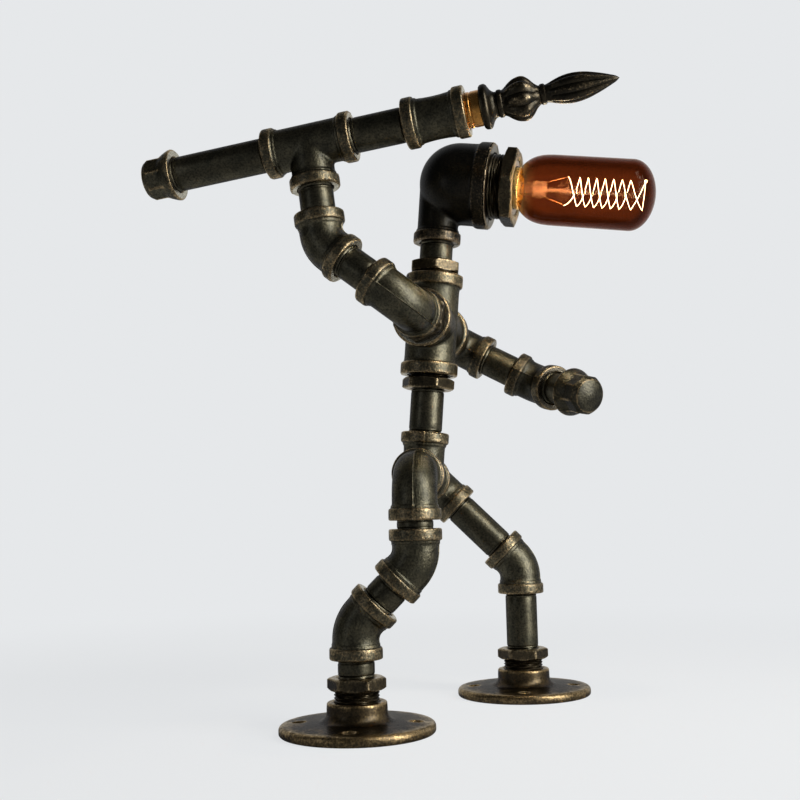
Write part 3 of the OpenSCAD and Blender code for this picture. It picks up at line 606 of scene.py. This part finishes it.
def cast_form(stubs, mouths, voxel, soften):
    """Stubs fused as one casting. A mouth is (its place, face, outline); its round is made true
    again after the fusing, and only the corners between the stubs stay soft."""
    line_w = 0.8  # half the width of the parting line
    whole = bmesh.new()
    for stub in stubs:
        add_to(whole, stub)
    bm = worked(whole, "REMESH", mode="VOXEL", voxel_size=voxel, adaptivity=0)
    axes = [(place.to_3x3() @ Vector((0, 0, 1)), face, outline) for place, face, outline in mouths]

    def middle():
        return [v for v in bm.verts
                if all(face - v.co.dot(axis) > outline[-1][0] - 0.6 for axis, face, outline in axes)]

    for _ in range(3):
        bmesh.ops.smooth_vert(bm, verts=bm.verts[:], factor=0.5, use_axis_x=True, use_axis_y=True,
                              use_axis_z=True)
    centre = middle()
    for _ in range(soften):
        bmesh.ops.smooth_vert(bm, verts=centre, factor=0.5, use_axis_x=True, use_axis_y=True,
                              use_axis_z=True)
    rub = bm.verts.layers.float.new("rub")
    for vert in bm.verts:
        vert[rub] = 0.05
        for axis, face, outline in axes:
            depth = face - vert.co.dot(axis)
            out = vert.co - axis * vert.co.dot(axis)
            if not outline[1][1] - 0.4 < out.length < max(s[1] for s in outline) + 1.5:
                continue
            if not -1 < depth < outline[-1][0]:
                continue
            if depth < 0.9:
                vert[rub] = 1.4 if out.length < outline[2][1] else 0.9
                if out.length < outline[2][1]:
                    vert.co += axis * depth
                continue
            radius, worn = outline_at(outline, depth)
            if out.length > outline[-1][1] - 0.8:
                vert.co += out.normalized() * (radius - out.length)
                vert[rub] = worn
        if abs(vert.co.y) < line_w:
            vert[rub] += 0.25
    bm.normal_update()
    for vert in bm.verts:
        if abs(vert.co.y) < line_w:
            vert.co += vert.normal * 0.25 * (1 - (vert.co.y / line_w) ** 2)
    return bm


def star_form(mouths, soften):
    """Casting with a run from its middle to each mouth"""
    stubs = []
    for way, face, outline in mouths:
        stub = solid_run(outline, face, -1)
        stub.transform(way)
        stubs.append(stub)
    return cast_form(stubs, mouths, 0.5, soften)


tee_mouths = [(way, elbow_face, HALF_MOUTH) for way in (turn(90), turn(-90), flip)]
for node, place in (("hip_tee", body @ flip @ spun(90)), ("launcher_tee", launcher)):
    dress(star_form(tee_mouths, 14), node, place, cast_iron, sharp=50)


# ---- Chest cross ----
# Three quarter inch malleable cast cross: the body comes in from below, the neck leaves above, and
# the shoulders leave on both sides. Its beads are wider than the half inch ones.

CROSS_MOUTH = [
    (1.2, 13.3, 0.2), (0, 14.5, 0.55), (0, 17.1, 0.75), (0.15, 17.8, 0.95), (0.5, 18.25, 1),
    (1.0, 18.48, 0.9), (2, 18.5, 0.6), (4, 18.5, 0.5), (6.2, 18.5, 0.6), (7.1, 18.42, 0.85),
    (7.6, 18.1, 0.9), (7.9, 17.5, 0.4), (8.4, 16.95, 0.1), (9.4, 16.65, 0.05), (10.6, 16.52, 0.05),
    (12, 16.5, 0.05),
]
cross_mouths = [(spun(way, "X"), cross_face, CROSS_MOUTH) for way in (0, 180, 90, -90)]
dress(star_form(cross_mouths, 20), "chest_cross", chest, cast_iron, sharp=50)


# ---- Head elbow ----
# Large cast reducing elbow: a half inch mouth below, on the neck, and a wide mouth ahead for the lamp holder's
# bushing. Its back is a smooth dome. It is painted darker than the other fittings as painted shade, since it
# stands high and out of the lamps' light.

HEAD_MOUTH = [
    (1.2, 21, 0.2), (0, 22.2, 0.8), (0, 26.2, 1.1), (0.2, 27.1, 1.1), (0.6, 27.7, 1), (1.3, 28, 0.6),
    (2.4, 28, 0.5), (5, 28, 0.35), (7.6, 28, 0.4), (8.6, 27.85, 0.6), (9.2, 27.4, 0.5),
    (9.6, 26.9, 0.2), (10.4, 26.65, 0.1), (11.4, 26.5, 0.05), (12, 26.5, 0.05),
]
neck_run, head_bend = 94.8, 94
head = chest @ step(neck_run)
head_run = head @ turn(head_bend)
leg_face, wide_face, wide_tap = 41, 35, 21
dome_at, dome_r = 13.25, 26.5
leg = solid_run(HALF_MOUTH, leg_face, -2)
leg.transform(flip)
floor_at = wide_face - HEAD_MOUTH[-1][0]
dome = [(floor_at, 0, 0), (floor_at, wide_tap, 0)]
dome += [(wide_face - t, r, 0) for t, r, _ in HEAD_MOUTH]
dome += [(dome_at - dome_r * sin(radians(b)), dome_r * cos(radians(b)), 0) for b in range(0, 91, 5)]
dome = turned(dome, sides=128)
dome.transform(turn(head_bend))
# Painted shade: darker colours than the other fittings' iron, for a head that the lamps barely reach
shaded_head_iron = worn_metal("shaded_head_iron", (0.012, 0.011, 0.008, 1), (0.030, 0.025, 0.017, 1),
                       (0.28, 0.21, 0.13, 1), 0.2, 0.36, 0.5, tooled=(0.05, 0.042, 0.03, 1))
head_mouths = [(flip, leg_face, HALF_MOUTH), (turn(head_bend), wide_face, HEAD_MOUTH)]
dress(cast_form([leg, dome], head_mouths, 0.55, 14), "head_elbow", head, shaded_head_iron, sharp=50)


# ---- Head bushing ----
# The widest bushing: an inch and a quarter thread in the head, part of it in sight, and a hexagon
# bored out for the lamp holder.

head_thread = 8
dress(bushing_form(20.95, head_thread, 46, 8, 18.1, 0.75), "head_bushing",
      head_run @ step(wide_face + head_thread) @ spun(30), hex_iron, sharp=30)


# ---- Lamp holder ----
# Moulded phenolic cup with a rolled brass screw shell and a centre contact at its bottom. It is
# pushed into the head bushing, and little of it shows round the bulb.

def plain_finish(name, colour, low, high, scale, metallic=0.0):
    """Even finish with a faint mottle: its roughness wanders between low and high"""
    finish, tree, base = new_finish(name)
    spot = shader(tree, "TexCoord", {})["Object"]
    mottle = noise(tree, spot, scale, 4)
    tint = shader(tree, "MapRange", {"Value": mottle, "From Min": 0.3, "From Max": 0.7,
                                     "To Min": 0.75, "To Max": 1.15})[0]
    skin = shader(tree, "VectorMath", {0: colour, 3: tint}, operation="SCALE")[0]
    tree.links.new(skin, base.inputs["Base Color"])
    tree.links.new(shader(tree, "MapRange", {"Value": mottle, "To Min": low, "To Max": high})[0],
                   base.inputs["Roughness"])
    bump = shader(tree, "Bump", {"Height": mottle, "Strength": 0.5, "Distance": 0.00002})[0]
    tree.links.new(bump, base.inputs["Normal"])
    base.inputs["Metallic"].default_value = metallic
    return finish


brass = plain_finish("brass", (0.88, 0.64, 0.28), 0.18, 0.4, 500, 1.0)
phenolic = plain_finish("phenolic", (0.012, 0.010, 0.009), 0.25, 0.45, 400)
for node, finish in (("lamp_holder", phenolic), ("holder_shell", brass), ("holder_contact", brass)):
    frame["nodes"][node].data.materials.clear()
    frame["nodes"][node].data.materials.append(finish)


# ---- Screw cap of the bulb ----
# Thin brass shell with a round thread rolled into it, cemented on the neck of the glass. Its back is
# closed by black glass with a solder tip, which rests on the holder's contact.

BULB_AT = 53
cap_back, roll_lead, roll_deep = 30, 3.629, 0.9


def rolled(distance, radius, worn, a):
    """The round thread rolled into the shell between its ends"""
    if radius > 12.6 and cap_back + 3 < distance < BULB_AT - 3.2:
        radius -= roll_deep * (0.5 - 0.5 * cos(2 * pi * (distance / roll_lead - a / (2 * pi))))
    return a, radius, worn, 0


rolls = [(cap_back + 3 + 0.45 * n, 13.2, 0) for n in range(38)]
inside = [(s, 12.0, 0) for s, _, _ in reversed(rolls)]
cap = [(cap_back, 9, 0), (cap_back + 1, 12.2, 0)] + rolls
cap += [(BULB_AT - 2.5, 13.5, 0), (BULB_AT - 0.2, 13.6, 0), (BULB_AT, 13.3, 0), (BULB_AT, 12.8, 0)]
cap += inside + [(cap_back + 1.6, 11.7, 0), (cap_back + 0.7, 9, 0), (cap_back, 9, 0)]
dress(turned(cap, sides=72, shape=rolled), "bulb_cap", head_run, brass)

black_glass = plain_finish("black_glass", (0.008, 0.008, 0.010), 0.05, 0.2, 300)
button = [(25, 0, 0), (25, 2.4, 0), (25.4, 3.3, 0), (26.5, 4.4, 0), (28, 6.6, 0), (29.5, 8.7, 0)]
button += [(30, 8.95, 0), (30.7, 8.95, 0), (30.7, 0, 0)]
dress(turned(button, sides=48), "bulb_insulator", head_run, black_glass)


# ---- Bulb glass ----
# Blown tubular bulb, Ø45, of thin amber glass, with a shoulder at the cap and a blunt end. Its colour is painted a
# pale straw yellow at its neck, where the cap holds it: a painted highlight of the lit brass cap seen through the
# glass.

def glass_finish(name, tint, neck_glint_tint, rough, cloudy=0.0):
    """Streaky glass, clear or a little cloudy, whose colour passes to a painted neck glint where its "rub" is 1.
    Dark bands are painted into its colour along its sides, by how squarely it faces the view: a painted reflection
    of the dark room."""
    finish, tree, glass = new_finish(name)
    spot = shader(tree, "TexCoord", {})["Object"]
    spot = shader(tree, "VectorMath", {0: spot, 1: (0.12, 1, 1)}, operation="MULTIPLY")[0]
    streak = noise(tree, spot, 160, 3)
    depth = shader(tree, "MapRange", {"Value": streak, "To Min": 0.7, "To Max": 1.3})[0]
    neck_glint_share = shader(tree, "Attribute", {}, attribute_name="rub")["Fac"]
    skin = shader(tree, "Mix", {0: neck_glint_share, 6: tint, 7: neck_glint_tint}, data_type="RGBA")[2]
    # Painted reflection: the colour is darkened in bands by how squarely the glass faces the view
    facing = shader(tree, "LayerWeight", {"Blend": 0.5})["Facing"]
    painted_reflection_bands = tree.nodes.new("ShaderNodeValToRGB")
    painted_reflection_bands.color_ramp.interpolation = "B_SPLINE"
    stops = painted_reflection_bands.color_ramp.elements
    stops[0].color = (1, 1, 1, 1)
    stops[-1].color = (0.25, 0.25, 0.25, 1)
    for at, light in ((0.2, 1), (0.34, 0.5), (0.37, 0.5), (0.52, 0.95), (0.8, 0.8)):
        stops.new(at).color = (light, light, light, 1)
    tree.links.new(facing, painted_reflection_bands.inputs["Fac"])
    depth = shader(tree, "Math", {0: depth, 1: painted_reflection_bands.outputs["Color"]}, operation="MULTIPLY")[0]
    skin = shader(tree, "VectorMath", {0: skin, 3: depth}, operation="SCALE")[0]
    tree.links.new(skin, glass.inputs["Base Color"])
    ripple = shader(tree, "Bump", {"Height": streak, "Strength": 0.1, "Distance": 0.00004})[0]
    tree.links.new(ripple, glass.inputs["Normal"])
    glass.inputs["Roughness"].default_value = rough
    glass.inputs["Transmission Weight"].default_value = 1 - cloudy
    glass.inputs["IOR"].default_value = 1.1
    return finish


bulb_r, neck_r, glass_t = 22.5, 12.6, 0.4
glass_l, blunt_l, shoulder_l, neck_glint_l, in_cap = 86, 15.5, 24, 7, 8


def glass_r(s):
    """Radius of the bulb as it swells from its neck over the length of its shoulder"""
    return neck_r + (bulb_r - neck_r) * (1 - (1 - min(s, shoulder_l) / shoulder_l) ** 3) ** 0.75


def glass_side(wall):
    """Stations of the glass from its neck to its end, a wall inside its outer skin"""
    # The third number of a station is the share of the painted neck highlight
    side = [(s, glass_r(s) - wall, max(0, 1 - s / neck_glint_l) ** 1.5)
            for s in (0, 0.5, 1, 1.8, 2.8, 4, 5.5, 7.5, 10, 13, 16, 20, shoulder_l, 40, 56)]
    end = glass_l - blunt_l
    return side + [(end + (blunt_l - wall) * sin(radians(b)), (bulb_r - wall) * cos(radians(b)), 0)
                   for b in range(0, 91, 6)]


# The second colour is a painted highlight at the neck, standing in for the lit brass cap seen through the glass
amber_glass = glass_finish("amber_glass", (0.35, 0.142, 0.064, 1), (0.92, 0.70, 0.38, 1), 0.02)
bulb = head_run @ step(BULB_AT)
skin = [(-in_cap, neck_r - glass_t, 0), (-in_cap, neck_r, 0)] + glass_side(0)
skin += glass_side(glass_t)[::-1] + [(-in_cap, neck_r - glass_t, 0)]
glass = dress(turned(skin), "bulb_glass", bulb, amber_glass, sharp=60)
glass.visible_shadow = False


# ---- Glass mount and wires ----
# Clear glass flare with a flat press, a rod on it, and the wires that carry the filament: one from
# each corner of the press, and one from the end of the rod to the filament's bead.

clear_glass = glass_finish("clear_glass", (1, 0.95, 0.9, 1), (1, 0.95, 0.9, 1), 0.12, 0.06)
rod_r, knob_r = 1.4, 2.4
flare = [(-in_cap, 0, 0), (-in_cap, 11.8, 0), (-7, 11.8, 0), (-5.4, 8.4, 0), (-4, 6, 0), (-1, 4.7, 0),
         (2, 4.1, 0)]
neck = [(8, 4, 0), (12, 3.2, 0), (16, 1.8, 0), (17, rod_r, 0)]
rod = [(29.5, rod_r, 0), (30, 2.2, 0), (31, knob_r, 0), (32, 2.2, 0), (32.5, rod_r, 0)]
knob = [(70.5, rod_r, 0), (71, 2.2, 0), (72, knob_r, 0), (72.9, 1.8, 0), (73.2, 0, 0)]
mount = turned(flare + neck + rod + knob, sides=48)
press = bmesh.new()
bmesh.ops.create_cube(press, size=1)
bmesh.ops.subdivide_edges(press, edges=press.edges[:], cuts=3, use_grid_fill=True)
press.transform(Matrix.Translation((0, 0, 12.5)) @ Matrix.Diagonal((10, 4, 9, 1)))
bmesh.ops.bevel(press, geom=[e for e in press.edges if e.calc_face_angle(0) > 1], offset=1.1,
                affect="EDGES", segments=3, profile=0.5, material=-1)
add_to(mount, press)
stem = dress(mount, "bulb_stem", bulb, clear_glass, sharp=60)
stem.visible_shadow = False


def along(points):
    """Places along a line of points, each with +Z along the line"""
    places = []
    for n, point in enumerate(points):
        way = (points[min(n + 1, len(points) - 1)] - points[max(n - 1, 0)]).normalized()
        across = Vector((point.x, point.y, 0.001)).cross(way).normalized()
        side = across.cross(way)
        places.append(Matrix.Translation(point) @ Matrix((side, across, way)).transposed().to_4x4())
    return places


def wire_form(points, radius):
    """Round wire along a line of points"""
    places = along(points)
    stations = [(0, 0, 0)] + [(n, radius, n / len(points)) for n in range(len(points))]
    stations += [(len(points) - 1, 0, 0)]
    return turned(stations, sides=8, path=lambda n: places[n])


coil_r, support_r = 9.5, 0.18
bead = Vector((-coil_r, 0, 78.8))
wire_metal = plain_finish("support_wire", (0.17, 0.11, 0.075), 0.4, 0.55, 900, 1.0)
wires = bmesh.new()
for points in (
    ((4.4, 0, 15.5), (5.2, 0, 17), (9, 0, 28.5), (coil_r, 0, 29.2)),
    ((-4.4, 0, 15.5), (-5.2, 0, 17), (-9.1, 0, 29), (-coil_r, 0, 29.9)),
    ((0, 0, 72), (-2.5, 0, 73.8), (-7.2, 0, 77.2), bead),
):
    add_to(wires, wire_form([Vector(point) for point in points], support_r))
dress(wires, "bulb_stem", bulb, wire_metal, name="bulb_support_wires")


# ---- Filament ----
# One drawn wire wound as a two-start spiral: out along the first strand, over a bead at the far end,
# and back between its turns. Both ends and the loop at the bead are drawn out. It glows white hot.

strand_r, bead_r, coil_start, strand_gap = 0.17, 1, 32.1, 5.33
coil_lead = 2 * strand_gap
last, every = 1260, 12  # degrees that a strand turns before it leaves for the bead, and its steps
first_out, second_out = 2, 3.8  # how far the last half turn of each strand is drawn to the bead
first_back, second_back = 2.2, 2.9  # and its first half turn, back to its end


def on_coil(a, z):
    """Point of the spiral, which its hooks draw out to a blunt point above and below"""
    out = -cos(radians(a))
    pointed = 0.4 * out + 0.6 * asin(out) * 2 / pi
    return Vector((coil_r * pointed, -0.8 * coil_r * sin(radians(a)), z))


def bowed(start, end, bow, count):
    """Points from start on towards end, along a line that bows out to +Y"""
    return [start.lerp(end, n / count) + Vector((0, bow * sin(pi * n / count), 0))
            for n in range(count)]


line = []
for a in range(0, last, every):
    drawn = first_out * max(0, 1 - (last - a) / 180) ** 2 - first_back * max(0, 1 - a / 180) ** 2
    line.append(on_coil(a, coil_start + coil_lead * a / 360 + drawn))
line += bowed(on_coil(last, coil_start + coil_lead * last / 360 + first_out), bead, 3.5, 15)
line += bowed(bead, on_coil(last, coil_start + strand_gap + coil_lead * last / 360 + second_out), 3, 12)
for a in range(last, -181, -every):
    drawn = second_out * max(0, 1 - (last - a) / 180) ** 2 - second_back * max(0, -a / 180) ** 2
    line.append(on_coil(a, coil_start + strand_gap + coil_lead * a / 360 + drawn))

hot_wire, tree, heat = new_finish("hot_wire")
facing = shader(tree, "LayerWeight", {"Blend": 0.5})["Facing"]
flicker = noise(tree, shader(tree, "TexCoord", {})["Object"], 300)
facing = shader(tree, "Math", {0: flicker, 1: 0.3, 2: facing}, operation="MULTIPLY_ADD")[0]
cooler = shader(tree, "MapRange", {"Value": facing, "From Min": 0.35, "From Max": 0.95})[0]
# The amber glass takes out blue, so the wire's own light is bluer than it looks
tone = shader(tree, "Mix", {0: cooler, 6: (0.35, 0.75, 1, 1), 7: (0.9, 0.8, 0.6, 1)},
              data_type="RGBA")[2]
tree.links.new(tone, heat.inputs["Emission Color"])
heat.inputs["Emission Strength"].default_value = 60
heat.inputs["Base Color"].default_value = (0.8, 0.4, 0.2, 1)
strand = wire_form(line, strand_r)
bmesh.ops.create_icosphere(strand, subdivisions=3, radius=bead_r, matrix=Matrix.Translation(bead))
dress(strand, "bulb_filament", bulb, hot_wire, sharp=80)

bulb_light = bpy.data.lights.new("bulb_light", "POINT")
bulb_light.energy = 0.65
bulb_light.color = (1, 0.84, 0.58)
bulb_light.shadow_soft_size = 0.008
bulb_glow = bpy.data.objects.new("bulb_light", bulb_light)
bulb_glow.location = (bulb @ Vector((0, 0, 26))) * 0.001
bulb_glow.visible_camera = False
bulb_glow.visible_transmission = False
scene.collection.objects.link(bulb_glow)
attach(bulb_glow, "bulb")


# ---- Launcher coupling ----
# Straight malleable coupling, beaded at both ends and a little waisted between them, that joins the
# front pipe to the brass adapter.

half_l = 19
front_face = elbow_face + front_gap
waisted = [(11.5, 13.2, 0.1), (13.5, 13.0, 0.12), (16, 12.9, 0.15), (half_l, 12.85, 0.18)]
stations = HALF_MOUTH[:-1] + waisted
stations += [(2 * half_l - t, r, worn) for t, r, worn in (waisted[2::-1] + HALF_MOUTH[-2::-1])]
stations += [(28, TAP_R, 0), (28, BORE_R, 0), (10, BORE_R, 0), (10, TAP_R, 0), HALF_MOUTH[0]]
dress(turned(stations), "launcher_coupling", launcher_run @ step(front_face), cast_iron)


# ---- Caps ----
# Cast caps that close the launcher's tail and the left hand: a collar that narrows like a cone from
# its lip, an octagon for the spanner with its corners turned off at the end, and a low dome.

CAP_MOUTH = [
    (0.9, TAP_R, 0.4), (0, 11.8, 1.4), (0, 14.8, 1.4), (0.15, 15.45, 1), (0.5, 15.8, 0.9),
    (1.1, 16, 0.85), (2, 15.85, 0.6), (3.5, 15.3, 0.4), (5, 14.65, 0.35), (6.5, 14, 0.35),
    (7.6, 13.45, 0.3), (8.5, 12.95, 0.2), (9.1, 12.5, 0.1),
]


def cap_form():
    """Cap from its lip on z = 0 to its end"""
    flat_r, height, cone_r, cone_from, cone_slope = 12.5, 22, 13.4, 15.8, 0.62
    corner = flat_r / cos(pi / 8)

    def shape(distance, radius, worn, a):
        if distance < 6 or radius < 11 and distance < 12:
            return a, radius, worn, 0
        off = (a + pi / 8) % (pi / 4) - pi / 8
        coned_r = cone_r - max(0, distance - cone_from) * cone_slope
        flat = min(flat_r / cos(pi / 8 - abs(off)), corner - 0.12, coned_r)
        edge = max(0, flat / flat_r - 1.045) * 32  # how rubbed the octagon's edges are
        if radius >= flat_r:
            return a, max(radius, flat) if distance < 9.2 else flat, min(1.05, worn + edge), 0
        return a, min(radius, flat), worn, 0

    stations = [(11, 0, 0), (11, TAP_R, 0)] + CAP_MOUTH
    stations += [(s, flat_r, 0.25) for s in (9.6, 10.5, 12, 14, 15.6)]
    stations += [(cone_from + 0.3 * n, flat_r, 0.45) for n in range(12)]
    stations += [(19.45, 11, 0.9), (19.8, 10.6, 0.8), (20.05, 10.1, 0.3), (20.4, 9.2, 0.15)]
    stations += [(20.8, 7.6, 0.1), (21.2, 5.8, 0.1), (21.6, 4, 0.1), (21.85, 2.2, 0.1)]
    stations += [(height, 0, 0.1)]
    return turned(stations, sides=128, shape=shape)


# The left hand's cap takes the far arm's painted shade
for node, place, finish in (
    ("launcher_rear_cap", launcher_run @ flip @ step(elbow_face + rear_gap), cast_iron),
    ("left_hand_cap", left_wrist @ step(bend_face + left_wrist_gap), shaded_far_iron),
):
    dress(cap_form(), node, place, finish, sharp=30)


# ---- Brass adapter ----
# Turned brass nipple between the coupling and the finial, left bright. It is screwed into the
# coupling, and two fine grooves run round it where it leaves.

bright_brass = plain_finish("bright_brass", (0.50, 0.24, 0.06), 0.16, 0.34, 700, 1.0)
adapter_at, adapter_l = front_face + 2 * half_l - REACH, 19.8
adapter = [(0, 6, 0), (0, 9.6, 0), (1, 10.6, 0), (10.2, 10.6, 0), (10.6, 10.2, 0), (11.3, 10.2, 0),
           (11.8, 10.65, 0), (13.2, 10.65, 0), (13.6, 10.3, 0), (14.2, 10.3, 0), (14.6, 10.65, 0),
           (19.3, 10.65, 0), (adapter_l, 10.4, 0), (adapter_l, 6, 0), (0, 6, 0)]
dress(turned(adapter), "launcher_adapter", launcher_run @ step(adapter_at), bright_brass)


# ---- Spear finial ----
# Cast finial: a collar, a ringed neck, a fluted bulb, a second ring and a long fluted blade that
# narrows to a point. The ridges between the flutes are rubbed bright.

finial_side = [
    (0, 12.2), (0.8, 13), (3.4, 13.2), (4.4, 12.4), (6, 9.4), (8, 7.6), (9.4, 7.4), (10, 8.1),
    (12, 8.1), (12.8, 7.5), (14.5, 8.4), (17, 10.4), (20, 12.1), (23, 12.9), (25, 13), (27, 12.4),
    (29.5, 10.4), (32, 7.4), (34, 5.7), (34.8, 5.4), (35.4, 6), (37.6, 6), (38.2, 5.2), (40, 5.6),
    (43.5, 6.8), (47.5, 7.9), (52, 8.5), (57, 8.4), (62, 7.6), (67, 6.2), (72, 4.5), (76, 2.9), (79, 1.6), (81, 0),
]


def fluting(distance, radius, worn, a):
    """Eight flutes on the bulb and on the blade, fading out at the rings and at the tip"""
    bulb_part = min(1, max(0, (distance - 13.5) / 4), max(0, (34 - distance) / 2))
    blade_part = min(1, max(0, (distance - 39.5) / 3), max(0, (80 - distance) / 8))
    depth = max(bulb_part, blade_part)
    ridge = abs(sin(4 * a))
    return a, radius * (1 - 0.17 * depth * (1 - ridge)), worn + depth * (ridge ** 3) * 0.4, 0


def smooth_side(side, spacing):
    """Stations close together along an outline, eased between its points"""
    stations = []
    for n in range(len(side) - 1):
        before, here = side[max(n - 1, 0)], side[n]
        there, after = side[n + 1], side[min(n + 2, len(side) - 1)]
        count = max(1, round((there[0] - here[0]) / spacing))
        span = there[0] - here[0]
        if span < 0.9:
            stations.append((here[0], here[1], 0.35))
            continue
        lead_in = (there[1] - before[1]) / (there[0] - before[0]) * span
        lead_out = (after[1] - here[1]) / max(0.1, after[0] - here[0]) * span
        for k in range(count):
            u = k / count
            radius = (here[1] * (2 * u ** 3 - 3 * u ** 2 + 1) + lead_in * (u ** 3 - 2 * u ** 2 + u)
                      + there[1] * (3 * u ** 2 - 2 * u ** 3) + lead_out * (u ** 3 - u ** 2))
            stations.append((here[0] + span * u, radius, 0.2))
    return stations + [(side[-1][0], side[-1][1], 0.5)]


finial_iron = worn_metal("finial_iron", (0.014, 0.012, 0.007, 1), (0.050, 0.038, 0.022, 1),
                         (0.45, 0.34, 0.20, 1), 0.06, 0.3, 0.55)
stations = [(0, 0, 0)] + smooth_side(finial_side, 0.8)
finial_at = launcher_run @ step(adapter_at + adapter_l)
dress(turned(stations, sides=128, shape=fluting), "spear_finial", finial_at, finial_iron,
      sharp=40)
